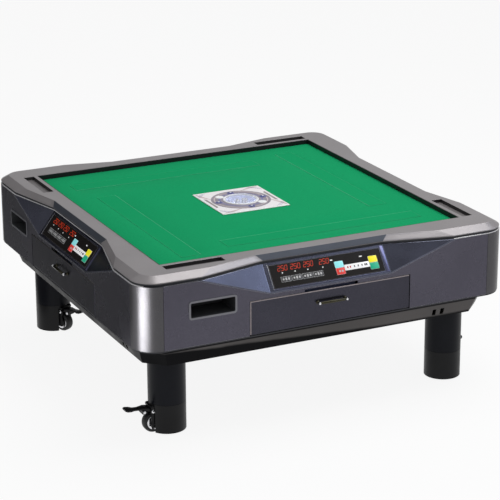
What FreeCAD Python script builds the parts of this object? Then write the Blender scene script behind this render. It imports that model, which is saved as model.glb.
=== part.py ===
import FreeCAD, Part
import math
import os
import types

import Sketcher

# Low automatic mahjong table: a square body on four caster legs, with a drawer, a score display
# and a side bin in every side, tile lifts in the playing surface and a rising console at the centre.
# The floor is Z = 0 under the table's centre, +Z is up and the front side faces -Y.

SIZES = {
    # Whole table
    "table_height": 416,
    "body_half": 485,
    "body_corner": 58,
    "overrun": 5,
    "running_fit": 0.06,
    "sliding_fit": 0.3,
    # Top rim, its trays, the black liner and the seals
    "rim_wide": 89,
    "rim_thick": 14,
    "rim_skirt": 2,
    "rim_setback": 1,
    "wing_inset": 22,
    "wing_end_back": 34,
    "notch_inset": 50,
    "notch_spread": 13,
    "notch_edge_back": 41,
    "tray_inset": 13,
    "tray_wide": 26.5,
    "tray_long": 147,
    "tray_deep": 9,
    "liner_wall": 2,
    "liner_drop": 0.5,
    "seal_tall": 7,
    "seal_inset": 4,
    "base_seal_tall": 4,
    "base_seal_inset": 1.5,
    "base_seal_wide": 54,
    # Playing surface
    "deck_lap": 29,
    "deck_thick": 12,
    "deck_gap": 3,
    "mat_thick": 1.5,
    "lift_setback": 105,
    "lift_wide": 50,
    "lift_ends": 267,
    "lift_shift": 77,
    "lift_gap": 1,
    "lift_thick": 12,
    "lift_rod": 5,
    "lift_rod_long": 90,
    "lift_rod_ends": 165,
    "guide_wide": 20,
    "guide_thick": 6,
    "guide_boss": 9,
    "guide_boss_tall": 30,
    "guide_strap": 6,
    "guide_strap_gap": 4,
    # Side panels and corner posts
    "panel_tall": 155,
    "panel_wall": 3,
    "seam_gap": 0.6,
    "post_wall": 3,
    "post_lip": 14,
    # Score display
    "display_half": 159,
    "facet_margin": 95.4,
    "recess_deep": 43.5,
    "recess_tall": 57,
    "housing_wall": 2,
    "window_side": 13,
    "window_head": 7.5,
    "window_thick": 2,
    "window_sunk": 1.2,
    "window_margin": 7.2,
    "key_thick": 0.6,
    "board_thick": 1.6,
    "board_side": 29,
    "board_margin": 12,
    "label_margin": 22,
    "label_pitch": 28,
    "label_wide": 24,
    "label_low": 19,
    "label_tall": 14,
    "key_left": 20,
    "key_right_margin": 36,
    "key_wide": 23,
    "key_low": 15,
    "key_tall": 16,
    "key_split": 0.8,
    "strip_low": 22.5,
    "strip_tall": 14,
    # Drawers
    "drawer_side": 36.5,
    "display_band": 71,
    "drawer_gap": 1.5,
    "drawer_thick": 4,
    "drawer_bevel": 1.2,
    "slot_half": 70,
    "slot_tall": 6.5,
    "box_inset": 15.5,
    "box_deep": 132,
    "box_head": 22,
    "box_wall": 2.5,
    "box_lift": 6,
    "handle_half": 36,
    "handle_drop": 29,
    "handle_reach": 10,
    "handle_post": 3.6,
    "handle_bar": 2.8,
    "runner_wide": 12,
    "runner_tall": 30,
    "runner_ledge": 10,
    # Side bins
    "bin_margin": 64.4,
    "bin_from_display": 88,
    "bin_drop": 88,
    "bin_tall": 39,
    "bin_round": 5,
    "bin_lip": 3,
    "bin_proud": 1.2,
    "bin_deep": 72,
    "bin_wall": 2,
    # Base pan
    "pan_inset": 22,
    "pan_flare": 16,
    "pan_chamfer": 45,
    "pan_deep": 49,
    "pan_wall": 3,
    "vent_from_corner": 151,
    "vent_pitch": 22,
    "vent_wide": 10,
    "vent_tall": 16,
    "vent_low": 5,
    # Chassis
    "rail_tube": 20,
    "rail_setback": 5,
    "post_tube": 24,
    # Shuffling unit under the deck
    "hopper_gap": 18,
    "hopper_wall": 6,
    "drum_gap": 2,
    "drum_thick": 6,
    "drum_height": 72,
    "drum_hub": 34,
    "drum_hub_tall": 30,
    "drum_hub_drop": 12,
    "drum_rib_wide": 8,
    "drum_rib_tall": 12,
    "post_radius": 25,
    "post_flange": 60,
    "post_flange_thick": 8,
    "post_gap": 8,
    "roller_radius": 20,
    "roller_wide": 16,
    "roller_inset": 68,
    "roller_shaft": 4,
    "motor_radius": 18,
    "motor_long": 56,
    "motor_foot": 24,
    "control_long": 130,
    "control_wide": 70,
    "control_tall": 34,
    "control_bevel": 3,
    "control_x": 40,
    "control_back": 147,
    "inlet_long": 48,
    "inlet_wide": 28,
    "inlet_tall": 30,
    "inlet_recess": 18,
    "inlet_wall": 4,
    "inlet_proud": 2,
    "inlet_x": 60,
    # Centre console
    "console_half": 92.4,
    "console_thick": 2.5,
    "console_bevel": 0.8,
    "console_lap": 12.4,
    "console_plug_gap": 2,
    "console_plug_tall": 18,
    "column_radius": 20,
    "column_wall": 3,
    "column_long": 85,
    "cup_radius": 38,
    "cup_deep": 14,
    "disc_radius": 36,
    "disc_thick": 2,
    "disc_shaft": 4,
    "die_edge": 12,
    "die_bevel": 1.2,
    "die_apart": 10,
    "dome_radius": 41,
    "dome_edge": 2,
    "dome_slope": 12,
    "dome_rise": 6,
    "dome_wall": 2,
    "button_radius": 11,
    "button_place": 40.5,
    "button_tall": 5,
    "button_proud": 1,
    "button_travel": 2,
    # Legs and casters
    "leg_radius": 45,
    "leg_inset": 27,
    "leg_wall": 3,
    "leg_cap": 20,
    "plug_tall": 26,
    "stem_radius": 8,
    "stem_tall": 22,
    "swivel_gap": 0.5,
    "wheel_radius": 25,
    "wheel_wide": 22,
    "wheel_hub": 15,
    "wheel_dish": 3,
    "axle_radius": 3.5,
    "caster_offset": 38,
    "hood_plate": 8,
    "hood_wall": 4,
    "hood_clear": 4,
    "wheel_headroom": 16,
    "cheek_gap": 3,
    "cheek_wall": 4,
    "cheek_back": 30,
    "cheek_front": 9,
    "cheek_drop": 9,
    "mouth_gap": 3,
    "pedal_pin": 2.5,
    "pedal_lift": 8,
    "pedal_shift": 4,
    "pedal_reach": 66,
    "pedal_thick": 5,
    "pedal_side_gap": 1,
    "pedal_tip_rise": 4,
    "pedal_eye": 5,
    "pedal_pad_start": 11,
    "pedal_pad_long": 5,
    "pedal_pad_drop": 8.6,
}

LABEL_KEYS = 4
VENTS = 2
SIDES = ("front", "right", "back", "left")
CORNERS = ("front_left", "front_right", "back_right", "back_left")
# Way that each caster trails at rest, in degrees from +X, as it was left after the table was rolled
CASTER_HEADINGS = (180, 37, 118, -65)

doc = FreeCAD.newDocument("mahjong_table")
sheet = doc.addObject("Spreadsheet::Sheet", "Sizes")
for row, (name, value) in enumerate(SIZES.items(), start=1):
    sheet.set("A%d" % row, name)
    sheet.set("B%d" % row, str(value))
    sheet.setAlias("B%d" % row, name)
doc.recompute()


class Size:
    """A size that carries its number and the sheet expression that it comes from."""

    def __init__(self, value, text):
        self.value = float(value)
        self.text = text

    def __add__(self, other):
        other = as_size(other)
        return Size(self.value + other.value, "(%s + %s)" % (self.text, other.text))

    def __sub__(self, other):
        other = as_size(other)
        return Size(self.value - other.value, "(%s - %s)" % (self.text, other.text))

    def __mul__(self, other):
        other = as_size(other)
        return Size(self.value * other.value, "(%s * %s)" % (self.text, other.text))

    def __truediv__(self, other):
        other = as_size(other)
        return Size(self.value / other.value, "(%s / %s)" % (self.text, other.text))

    def __neg__(self):
        return Size(-self.value, "(0 - %s)" % self.text)


def as_size(number):
    if isinstance(number, Size):
        return number
    return Size(number, repr(number))


def root(square):
    return Size(math.sqrt(square.value), "sqrt(%s)" % square.text)


ZERO = Size(0, "0")
size = types.SimpleNamespace(**{name: Size(value, "Sizes." + name) for name, value in SIZES.items()})
NODES = []


# Helpers that make bound objects

def bind(thing, path, value):
    thing.setExpression(path, as_size(value).text)


def move(thing, x=ZERO, y=ZERO, z=ZERO, axis=(0, 0, 1), angle=0):
    """Turn a piece about an axis through its own zero and bind where that zero stands."""
    turn = FreeCAD.Rotation(FreeCAD.Vector(*axis), angle)
    thing.Placement = FreeCAD.Placement(FreeCAD.Vector(0, 0, 0), turn)
    bind(thing, "Placement.Base.x", x)
    bind(thing, "Placement.Base.y", y)
    bind(thing, "Placement.Base.z", z)
    return thing


def box(name, xs, ys, zs):
    solid = doc.addObject("Part::Box", name)
    bind(solid, "Length", xs[1] - xs[0])
    bind(solid, "Width", ys[1] - ys[0])
    bind(solid, "Height", zs[1] - zs[0])
    return move(solid, xs[0], ys[0], zs[0])


def cylinder(name, radius, zs, x=ZERO, y=ZERO):
    solid = doc.addObject("Part::Cylinder", name)
    bind(solid, "Radius", radius)
    bind(solid, "Height", zs[1] - zs[0])
    return move(solid, x, y, zs[0])


def pin_along_y(name, radius, ys, x, z):
    solid = doc.addObject("Part::Cylinder", name)
    bind(solid, "Radius", radius)
    bind(solid, "Height", ys[1] - ys[0])
    return move(solid, x, ys[0], z, (1, 0, 0), -90)


def pin_along_x(name, radius, xs, y, z):
    solid = doc.addObject("Part::Cylinder", name)
    bind(solid, "Radius", radius)
    bind(solid, "Height", xs[1] - xs[0])
    return move(solid, xs[0], y, z, (0, 1, 0), 90)


def fuse(name, *pieces):
    solid = doc.addObject("Part::MultiFuse", name)
    solid.Shapes = list(pieces)
    solid.Refine = True
    return solid


def cut(name, base, *tools):
    solid = doc.addObject("Part::Cut", name)
    solid.Base = base
    solid.Tool = tools[0] if len(tools) == 1 else fuse(name + "_tools", *tools)
    return solid


def group(name, pieces):
    """Several separate solids under one name."""
    whole = doc.addObject("Part::Compound", name)
    whole.Links = list(pieces)
    return whole


def turned(name, piece, quarter):
    """A copy of a front-side piece, turned by quarter turns about the table's centre."""
    copy = group(name, [piece])
    copy.Placement = FreeCAD.Placement(
        FreeCAD.Vector(0, 0, 0), FreeCAD.Rotation(FreeCAD.Vector(0, 0, 1), 90 * quarter))
    return copy


def around(name, piece, ends=SIDES):
    return [turned("%s_%s" % (name, end), piece, quarter) for quarter, end in enumerate(ends)]


def node(piece):
    NODES.append(piece)
    return piece


def new_body(name):
    return doc.addObject("PartDesign::Body", name)


def arc_between(start, end, radius, sense):
    """The arc of under a half circle from start to end; sense 1 bulges to the right of the way."""
    way = end - start
    half = way.Length / 2
    side = FreeCAD.Vector(-way.y, way.x, 0).normalize() * sense
    centre = start + way / 2 + side * math.sqrt(max(radius * radius - half * half, 0))
    crown = centre - side * radius
    return Part.Arc(start, crown, end)


def add_loop(sketch, points):
    """A closed outline of bound points; a point with a radius starts an arc to the next point."""
    first = sketch.GeometryCount
    count = len(points)
    places = [FreeCAD.Vector(point[0].value, point[1].value, 0) for point in points]
    ends = []
    for index, point in enumerate(points):
        start = places[index]
        end = places[(index + 1) % count]
        if len(point) == 2:
            sketch.addGeometry(Part.LineSegment(start, end), False)
            ends.append((1, 2))
            continue
        sense = point[3] if len(point) == 4 else 1
        sketch.addGeometry(arc_between(start, end, point[2].value, sense), False)
        ends.append((1, 2) if sense > 0 else (2, 1))
    for index in range(count):
        following = (index + 1) % count
        sketch.addConstraint(Sketcher.Constraint(
            "Coincident", first + index, ends[index][1], first + following, ends[following][0]))
    for index, point in enumerate(points):
        for kind, value in (("DistanceX", point[0]), ("DistanceY", point[1])):
            number = sketch.addConstraint(Sketcher.Constraint(
                kind, -1, 1, first + index, ends[index][0], value.value))
            sketch.setExpression("Constraints[%d]" % number, value.text)
        if len(point) > 2:
            number = sketch.addConstraint(Sketcher.Constraint("Radius", first + index, point[2].value))
            sketch.setExpression("Constraints[%d]" % number, point[2].text)


def add_circle(sketch, x, y, radius):
    centre = FreeCAD.Vector(x.value, y.value, 0)
    index = sketch.addGeometry(Part.Circle(centre, FreeCAD.Vector(0, 0, 1), radius.value), False)
    for kind, value in (("DistanceX", x), ("DistanceY", y)):
        number = sketch.addConstraint(Sketcher.Constraint(kind, -1, 1, index, 3, value.value))
        sketch.setExpression("Constraints[%d]" % number, value.text)
    number = sketch.addConstraint(Sketcher.Constraint("Radius", index, radius.value))
    sketch.setExpression("Constraints[%d]" % number, radius.text)


def draw(body, name, role, offset, *loops):
    """A sketch on one of the body's own origin planes, moved along the plane's normal."""
    sketch = body.newObject("Sketcher::SketchObject", name)
    plane = [feature for feature in body.Origin.OriginFeatures if feature.Role == role][0]
    sketch.AttachmentSupport = (plane, "")
    sketch.MapMode = "FlatFace"
    bind(sketch, "AttachmentOffset.Base.z", offset)
    for loop in loops:
        add_loop(sketch, loop)
    return sketch


def pad(body, sketch, length, backwards=False):
    feature = body.newObject("PartDesign::Pad", sketch.Name + "_pad")
    feature.Profile = sketch
    feature.Reversed = backwards
    bind(feature, "Length", length)
    return feature


def pocket(body, sketch, length):
    feature = body.newObject("PartDesign::Pocket", sketch.Name + "_pocket")
    feature.Profile = sketch
    bind(feature, "Length", length)
    return feature


def loft(body, sketches, kind="PartDesign::AdditiveLoft"):
    feature = body.newObject(kind, sketches[0].Name + "_loft")
    feature.Profile = sketches[0]
    feature.Sections = sketches[1:]
    feature.Ruled = True
    return feature


def spin(name, points):
    """A turned piece: a closed outline of radius and height, spun about Z."""
    body = new_body(name)
    profile = draw(body, name + "_profile", "XZ_Plane", ZERO, points)
    feature = body.newObject("PartDesign::Revolution", name + "_turn")
    feature.Profile = profile
    feature.ReferenceAxis = (profile, ["V_Axis"])
    feature.Angle = 360
    return body


def bevel_face(body, feature, direction, width):
    """Chamfer every edge of the feature's flat face that looks in the given direction."""
    doc.recompute()
    toward = FreeCAD.Vector(*direction)
    faces = feature.Shape.Faces
    flat = [face for face in range(len(faces)) if faces[face].normalAt(0, 0).dot(toward) > 0.999]
    outer = max(flat, key=lambda face: faces[face].CenterOfMass.dot(toward))
    edge = body.newObject("PartDesign::Chamfer", feature.Name + "_bevel")
    edge.Base = (feature, ["Face%d" % (outer + 1)])
    bind(edge, "Size", width)
    return edge


# Outlines

def rectangle(xs, ys):
    return [(xs[0], ys[0]), (xs[1], ys[0]), (xs[1], ys[1]), (xs[0], ys[1])]


def square(half):
    return rectangle((-half, half), (-half, half))


def rounded(xs, ys, radius):
    return [
        (xs[0] + radius, ys[0]), (xs[1] - radius, ys[0], radius),
        (xs[1], ys[0] + radius), (xs[1], ys[1] - radius, radius),
        (xs[1] - radius, ys[1]), (xs[0] + radius, ys[1], radius),
        (xs[0], ys[1] - radius), (xs[0], ys[0] + radius, radius),
    ]


def chamfered_square(half, chamfer):
    inner = half - chamfer
    return quarter_turns([(-inner, -half), (inner, -half)])


def quarter_turns(points):
    """The points of one side, repeated on the other three."""
    outline = []
    for _ in SIDES:
        outline.extend(points)
        points = [(-point[1], point[0]) + tuple(point[2:]) for point in points]
    return outline


def winged_square(wing, corner, wing_end, notch, notch_half):
    """The rim's outline: a rounded square drawn in towards the middle of every side."""
    straight = wing - corner
    return quarter_turns([
        (-straight, -wing), (-wing_end, -wing), (-notch_half, -notch),
        (notch_half, -notch), (wing_end, -wing), (straight, -wing, corner),
    ])


# Levels above the floor, from the top down

rim_low = size.table_height - size.rim_thick
panel_high = rim_low - size.seal_tall
panel_low = panel_high - size.panel_tall
pan_high = panel_low - size.base_seal_tall
pan_low = pan_high - size.pan_deep
pan_floor = pan_low + size.pan_wall
deck_low = rim_low - size.deck_thick
mat_high = rim_low + size.mat_thick

# Reaches from the table's centre, from the outside in

panel_in = size.body_half - size.panel_wall
panel_half = size.body_half - size.body_corner - size.seam_gap
facet_half = panel_half - size.facet_margin
opening_half = size.body_half - size.rim_wide
deck_half = opening_half + size.deck_lap
pan_half = size.body_half - size.pan_inset
pan_foot_half = pan_half - size.pan_flare
console_hole = size.console_half - size.console_lap


# Top rim with its four trays, the black liner round the playing surface

def make_top_rim():
    edge = size.body_half - size.rim_setback
    low_points = winged_square(
        edge, size.body_corner - size.rim_setback, facet_half,
        size.body_half - size.notch_edge_back, size.display_half)
    flat_points = winged_square(
        size.body_half - size.wing_inset, size.body_corner - size.wing_inset,
        facet_half - size.wing_end_back,
        size.body_half - size.notch_inset, size.display_half + size.notch_spread)
    body = new_body("top_rim")
    pad(body, draw(body, "rim_skirt_outline", "XY_Plane", rim_low, low_points), size.rim_skirt)
    bevel_low = draw(body, "rim_bevel_low", "XY_Plane", rim_low + size.rim_skirt, low_points)
    bevel_high = draw(body, "rim_bevel_high", "XY_Plane", size.table_height, flat_points)
    loft(body, [bevel_low, bevel_high])
    hole = draw(body, "rim_opening", "XY_Plane", size.table_height,
                square(opening_half + size.liner_wall))
    pocket(body, hole, size.rim_thick)
    near = opening_half + size.tray_inset
    tray = rectangle((-opening_half, -opening_half + size.tray_long), (-near - size.tray_wide, -near))
    trays = quarter_turns(tray)
    loops = [trays[start:start + len(tray)] for start in range(0, len(trays), len(tray))]
    pocket(body, draw(body, "rim_trays", "XY_Plane", size.table_height, *loops), size.tray_deep)
    return body


def make_liner():
    body = new_body("rim_liner")
    ring = draw(body, "liner_outline", "XY_Plane", mat_high,
                square(opening_half + size.liner_wall), square(opening_half))
    pad(body, ring, size.table_height - size.liner_drop - mat_high)
    return body


def make_seals():
    inset = size.seal_inset
    upper = new_body("rim_seal")
    outer = winged_square(
        size.body_half - inset, size.body_corner - inset, facet_half,
        size.body_half - size.notch_edge_back - inset, size.display_half)
    pad(upper, draw(upper, "rim_seal_outline", "XY_Plane", panel_high, outer,
                    square(deck_half + size.deck_gap)), size.seal_tall)
    lower = new_body("base_seal")
    half = size.body_half - size.base_seal_inset
    ring = rounded((-half, half), (-half, half), size.body_corner - size.base_seal_inset)
    pad(lower, draw(lower, "base_seal_outline", "XY_Plane", pan_high, ring,
                    square(half - size.base_seal_wide)), size.base_seal_tall)
    return group("body_seals", [upper, lower])


# Playing surface: board, green mat and the four tile lifts

lift_offset = opening_half - size.lift_setback
lift_long = opening_half * 2 - size.lift_ends
lift_rod_apart = lift_long - size.lift_rod_ends


def surface_holes():
    """The console's hole and the four lift slots, which turn about the centre like a pinwheel."""
    reach = lift_long / 2 + size.lift_gap
    near = lift_offset - size.lift_wide / 2 - size.lift_gap
    far = lift_offset + size.lift_wide / 2 + size.lift_gap
    slot = rectangle((size.lift_shift - reach, size.lift_shift + reach), (-far, -near))
    slots = quarter_turns(slot)
    loops = [slots[start:start + len(slot)] for start in range(0, len(slots), len(slot))]
    return [square(console_hole)] + loops


def make_deck():
    body = new_body("deck_board")
    pad(body, draw(body, "deck_outline", "XY_Plane", deck_low, square(deck_half), *surface_holes()),
        size.deck_thick)
    return body


def make_mat():
    body = new_body("playing_mat")
    pad(body, draw(body, "mat_outline", "XY_Plane", rim_low,
                   square(opening_half + size.liner_wall), *surface_holes()), size.mat_thick)
    return body


lift_low = mat_high - size.lift_thick
guide_low = lift_low - size.lift_rod_long


def lift_rods(name, radius, zs):
    places = (size.lift_shift - lift_rod_apart / 2, size.lift_shift + lift_rod_apart / 2)
    return [cylinder("%s_%d" % (name, number), radius, zs, x, -lift_offset)
            for number, x in enumerate(places)]


def make_lift():
    reach = lift_long / 2
    bar = box("lift_bar", (size.lift_shift - reach, size.lift_shift + reach),
              (-lift_offset - size.lift_wide / 2, -lift_offset + size.lift_wide / 2),
              (lift_low, mat_high))
    return fuse("tile_lift", bar, *lift_rods("lift_rod", size.lift_rod, (guide_low, lift_low)))


def make_guide():
    """A U bracket hung from the deck, with two bosses in which the lift's rods run."""
    inner = lift_long / 2 + size.lift_gap + size.guide_strap_gap
    outer = inner + size.guide_strap
    ys = (-lift_offset - size.guide_wide / 2, -lift_offset + size.guide_wide / 2)
    beam = box("guide_beam", (size.lift_shift - outer, size.lift_shift + outer), ys,
               (guide_low, guide_low + size.guide_thick))
    hang = (guide_low, deck_low)
    straps = [
        box("guide_strap_left", (size.lift_shift - outer, size.lift_shift - inner), ys, hang),
        box("guide_strap_right", (size.lift_shift + inner, size.lift_shift + outer), ys, hang),
    ]
    boss_high = guide_low + size.guide_boss_tall
    bosses = lift_rods("guide_boss", size.guide_boss, (guide_low, boss_high))
    bores = lift_rods("guide_bore", size.lift_rod + size.sliding_fit,
                      (guide_low - size.overrun, boss_high + size.overrun))
    return cut("lift_guide", fuse("guide_blank", beam, *straps, *bosses), *bores)


# Score display: a faceted recess in every side, with a dark window and a keypad on its slope

slope_long = root(size.recess_deep * size.recess_deep + size.recess_tall * size.recess_tall)
slope_fall = size.recess_tall / slope_long
slope_run = size.recess_deep / slope_long
window_half = size.display_half - size.window_side
slope_turn = 180 - math.degrees(math.atan2(size.recess_deep.value, size.recess_tall.value))


def on_slope(solid, x, rise, down):
    """Lay a solid on the display's slope: rise is off its face and down is from its upper edge."""
    y = -size.body_half + size.recess_deep - rise * slope_fall - down * slope_run
    z = panel_high + rise * slope_run - down * slope_fall
    move(solid, x, y, z, (1, 0, 0), slope_turn)
    bind(solid, "Placement.Rotation.Angle",
         Size(slope_turn, "180 deg - atan(%s / %s)" % (size.recess_deep.text, size.recess_tall.text)))
    return solid


def slope_box(name, xs, rises, lows):
    """A plate on the slope; lows are distances up from the slope's lower edge."""
    solid = doc.addObject("Part::Box", name)
    bind(solid, "Length", xs[1] - xs[0])
    bind(solid, "Width", rises[1] - rises[0])
    bind(solid, "Height", lows[1] - lows[0])
    return on_slope(solid, xs[0], rises[0], slope_long - lows[1])


def make_recess():
    """The hollow that the display sits in, with the slope as its base and two slanting end faces."""
    solid = doc.addObject("Part::Wedge", "display_recess")
    bind(solid, "Xmin", -size.display_half)
    bind(solid, "Xmax", size.display_half)
    bind(solid, "X2min", -facet_half)
    bind(solid, "X2max", facet_half)
    bind(solid, "Ymin", ZERO)
    bind(solid, "Ymax", size.recess_deep * slope_fall)
    bind(solid, "Zmin", ZERO)
    bind(solid, "Zmax", slope_long)
    bind(solid, "Z2min", size.recess_deep * slope_run)
    bind(solid, "Z2max", size.recess_deep * slope_run)
    return on_slope(solid, ZERO, ZERO, ZERO)


def make_housing(recess, window):
    doc.recompute()
    faces = recess.Shape.Faces
    outward = [FreeCAD.Vector(0, -1, 0), FreeCAD.Vector(0, 0, 1)]
    opened = [face for face in range(len(faces))
              if max(faces[face].normalAt(0, 0).dot(way) for way in outward) > 0.999]
    shell = doc.addObject("Part::Thickness", "housing_shell")
    shell.Faces = (recess, ["Face%d" % (face + 1) for face in opened])
    shell.Mode = "Skin"
    shell.Join = "Intersection"
    bind(shell, "Value", size.housing_wall)
    return shell, cut("score_housing", shell, window)


def make_window():
    return slope_box("score_window", (-window_half, window_half),
                     (-size.window_sunk, size.window_thick - size.window_sunk),
                     (size.window_margin, slope_long - size.window_head))


def make_keys():
    rises = (size.window_thick - size.window_sunk, size.window_thick - size.window_sunk + size.key_thick)
    low = (size.key_low, size.key_low + size.key_tall)
    high = (low[1] + size.key_split, low[1] + size.key_split + size.key_tall)
    left = (size.key_left, size.key_left + size.key_wide)
    right_start = window_half - size.key_right_margin
    right = (right_start, right_start + size.key_wide)
    middle = (left[1] + size.key_split, right[0] - size.key_split)
    keys = [
        slope_box("key_left_high", left, rises, high),
        slope_box("key_left_low", left, rises, low),
        slope_box("key_strip", middle, rises, (size.strip_low, size.strip_low + size.strip_tall)),
        slope_box("key_right_high", right, rises, high),
        slope_box("key_right_low", right, rises, low),
    ]
    for number in range(LABEL_KEYS):
        start = size.label_margin - window_half + size.label_pitch * number
        keys.append(slope_box("key_label_%d" % number, (start, start + size.label_wide), rises,
                              (size.label_low, size.label_low + size.label_tall)))
    return group("score_keypad", keys)


def make_board():
    board_half = size.display_half - size.board_side
    return slope_box("score_board", (-board_half, board_half),
                     (-size.housing_wall - size.board_thick, -size.housing_wall),
                     (size.board_margin, slope_long - size.board_margin))


# Side panels, corner posts and bins

drawer_low = panel_low + size.drawer_gap
drawer_high = panel_high - size.display_band
bin_xs = (size.bin_margin - panel_half, -size.display_half - size.bin_from_display)
bin_zs = (panel_high - size.bin_drop, panel_high - size.bin_drop + size.bin_tall)
drawer_half = -bin_xs[1] - size.drawer_side


def make_boards(recess, shell):
    """Three boards that meet beside the drawer: two ends, and a rail with a finger notch over it."""
    door = drawer_half + size.drawer_gap
    door_high = drawer_high + size.drawer_gap
    slot_high = door_high + size.slot_tall
    outlines = {
        "panel_end_left": (rectangle((-panel_half, -door), (panel_low, panel_high)),
                           rounded(bin_xs, bin_zs, size.bin_round)),
        "panel_end_right": (rectangle((door, panel_half), (panel_low, panel_high)),),
        "panel_rail": ([
            (-door, door_high), (-size.slot_half, door_high), (-size.slot_half, slot_high),
            (size.slot_half, slot_high), (size.slot_half, door_high), (door, door_high),
            (door, panel_high), (-door, panel_high),
        ],),
    }
    boards = []
    for name, loops in outlines.items():
        body = new_body(name + "_sheet")
        pad(body, draw(body, name + "_outline", "XZ_Plane", panel_in, *loops), size.panel_wall)
        boards.append(cut(name, body, recess, shell))
    return group("side_panel", boards)


def make_corner_post():
    """A quarter-round shell with two lips that tuck in behind the panels."""
    start = size.body_half - size.body_corner
    behind = panel_in
    inside = panel_in - size.post_wall
    lip = start - size.post_lip
    outline = [
        (-size.body_half, -start, size.body_corner), (-start, -size.body_half), (-start, -behind),
        (-lip, -behind), (-lip, -inside), (-start, -inside, inside - start, -1),
        (-inside, -start), (-inside, -lip), (-behind, -lip), (-behind, -start),
    ]
    body = new_body("corner_post")
    pad(body, draw(body, "corner_outline", "XY_Plane", panel_low, outline), size.panel_tall)
    return body


def make_bin():
    """An open cup let into the panel, with a rounded lip on the panel's face."""
    lip_xs = (bin_xs[0] - size.bin_lip, bin_xs[1] + size.bin_lip)
    lip_zs = (bin_zs[0] - size.bin_lip, bin_zs[1] + size.bin_lip)
    in_xs = (bin_xs[0] + size.bin_wall, bin_xs[1] - size.bin_wall)
    in_zs = (bin_zs[0] + size.bin_wall, bin_zs[1] - size.bin_wall)
    body = new_body("side_bin")
    lip = draw(body, "bin_lip_outline", "XZ_Plane", size.body_half,
               rounded(lip_xs, lip_zs, size.bin_round + size.bin_lip))
    pad(body, lip, size.bin_proud)
    cup = draw(body, "bin_cup_outline", "XZ_Plane", size.body_half, rounded(bin_xs, bin_zs, size.bin_round))
    pad(body, cup, size.bin_deep, backwards=True)
    hollow = draw(body, "bin_hollow_outline", "XZ_Plane", size.body_half + size.bin_proud,
                  rounded(in_xs, in_zs, size.bin_round - size.bin_wall))
    pocket(body, hollow, size.bin_proud + size.bin_deep - size.bin_wall)
    return body


# Drawers

box_half = drawer_half - size.box_inset
box_low = panel_low + size.box_lift
box_high = box_low + drawer_high - panel_low - size.box_head
box_back = size.body_half - size.drawer_thick - size.box_deep


def make_drawer_face():
    body = new_body("drawer_face")
    face = draw(body, "drawer_face_outline", "XZ_Plane", size.body_half - size.drawer_thick,
                rectangle((-drawer_half, drawer_half), (drawer_low, drawer_high)))
    bevel_face(body, pad(body, face, size.drawer_thick), (0, -1, 0), size.drawer_bevel)
    return body


def make_drawer_box():
    """An open tray behind the drawer's face."""
    ys = (-size.body_half + size.drawer_thick, -box_back)
    xs = (-box_half, box_half)
    wall = size.box_wall
    outer = box("drawer_box_outer", xs, ys, (box_low, box_high))
    hollow = box("drawer_box_hollow", (xs[0] + wall, xs[1] - wall), (ys[0] + wall, ys[1] - wall),
                 (box_low + wall, box_high + size.overrun))
    return cut("drawer_box", outer, hollow)


def make_drawer_handle():
    z = drawer_high - size.handle_drop
    reach = size.body_half + size.handle_reach
    ys = (-reach - size.handle_post, -size.body_half)
    posts = [pin_along_y("handle_post_%d" % side, size.handle_post, ys, size.handle_half * side, z)
             for side in (-1, 1)]
    bar = pin_along_x("handle_bar", size.handle_bar, (-size.handle_half, size.handle_half), -reach, z)
    return fuse("drawer_handle", bar, *posts)


def make_runner(side):
    """An angle beside the drawer box, with a ledge that the box slides on."""
    inner = box_half + size.sliding_fit
    outer = inner + size.runner_wide
    ledge = box_half - size.runner_ledge
    ledge_high = box_low - size.sliding_fit
    outline = [(ledge, panel_low), (outer, panel_low), (outer, panel_low + size.runner_tall),
               (inner, panel_low + size.runner_tall), (inner, ledge_high), (ledge, ledge_high)]
    if side < 0:
        outline = [(-x, z) for x, z in reversed(outline)]
    body = new_body("runner_%s" % ("left" if side < 0 else "right"))
    front = size.body_half - size.drawer_thick - size.sliding_fit
    pad(body, draw(body, body.Name + "_outline", "XZ_Plane", box_back, outline), front - box_back)
    return body


# Base pan and the chassis that stands in it

inlet_xs = (size.inlet_x, size.inlet_x + size.inlet_long)
control_back = pan_foot_half - size.control_back
inlet_ys = (control_back - size.inlet_wide, control_back)


def make_base_pan():
    body = new_body("pan_shell")
    wall = size.pan_wall
    loft(body, [
        draw(body, "pan_foot", "XY_Plane", pan_low, chamfered_square(pan_foot_half, size.pan_chamfer)),
        draw(body, "pan_mouth", "XY_Plane", pan_high, chamfered_square(pan_half, size.pan_chamfer)),
    ])
    loft(body, [
        draw(body, "pan_floor_inside", "XY_Plane", pan_floor,
             chamfered_square(pan_foot_half - wall, size.pan_chamfer)),
        draw(body, "pan_mouth_inside", "XY_Plane", pan_high,
             chamfered_square(pan_half - wall, size.pan_chamfer)),
    ], "PartDesign::SubtractiveLoft")
    vents = []
    for number in range(VENTS):
        start = pan_foot_half - size.vent_from_corner + size.vent_pitch * number
        vents.append(box(
            "vent_%d" % number, (start, start + size.vent_wide),
            (-pan_half, -pan_foot_half + wall + size.overrun),
            (pan_floor + size.vent_low, pan_floor + size.vent_low + size.vent_tall)))
    slots = around("vents", group("vent_pair", vents))
    hole = box("inlet_hole", inlet_xs, inlet_ys, (pan_low - size.overrun, pan_floor + size.overrun))
    return cut("base_pan", body, *slots, hole)


def make_chassis():
    outer = deck_half - size.rail_setback
    inner = outer - size.rail_tube
    rail_low = deck_low - size.rail_tube
    ring = cut("chassis_rails",
               box("rails_outer", (-outer, outer), (-outer, outer), (rail_low, deck_low)),
               box("rails_inner", (-inner, inner), (-inner, inner),
                   (rail_low - size.overrun, deck_low + size.overrun)))
    leg = box("chassis_post", (-outer, -outer + size.post_tube), (-outer, -outer + size.post_tube),
              (pan_floor, deck_low))
    return fuse("chassis_rails", ring, *around("chassis_post", leg, CORNERS))


# Shuffling unit: hopper ring, drum turning on the centre post, drive roller, motor, control box

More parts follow.
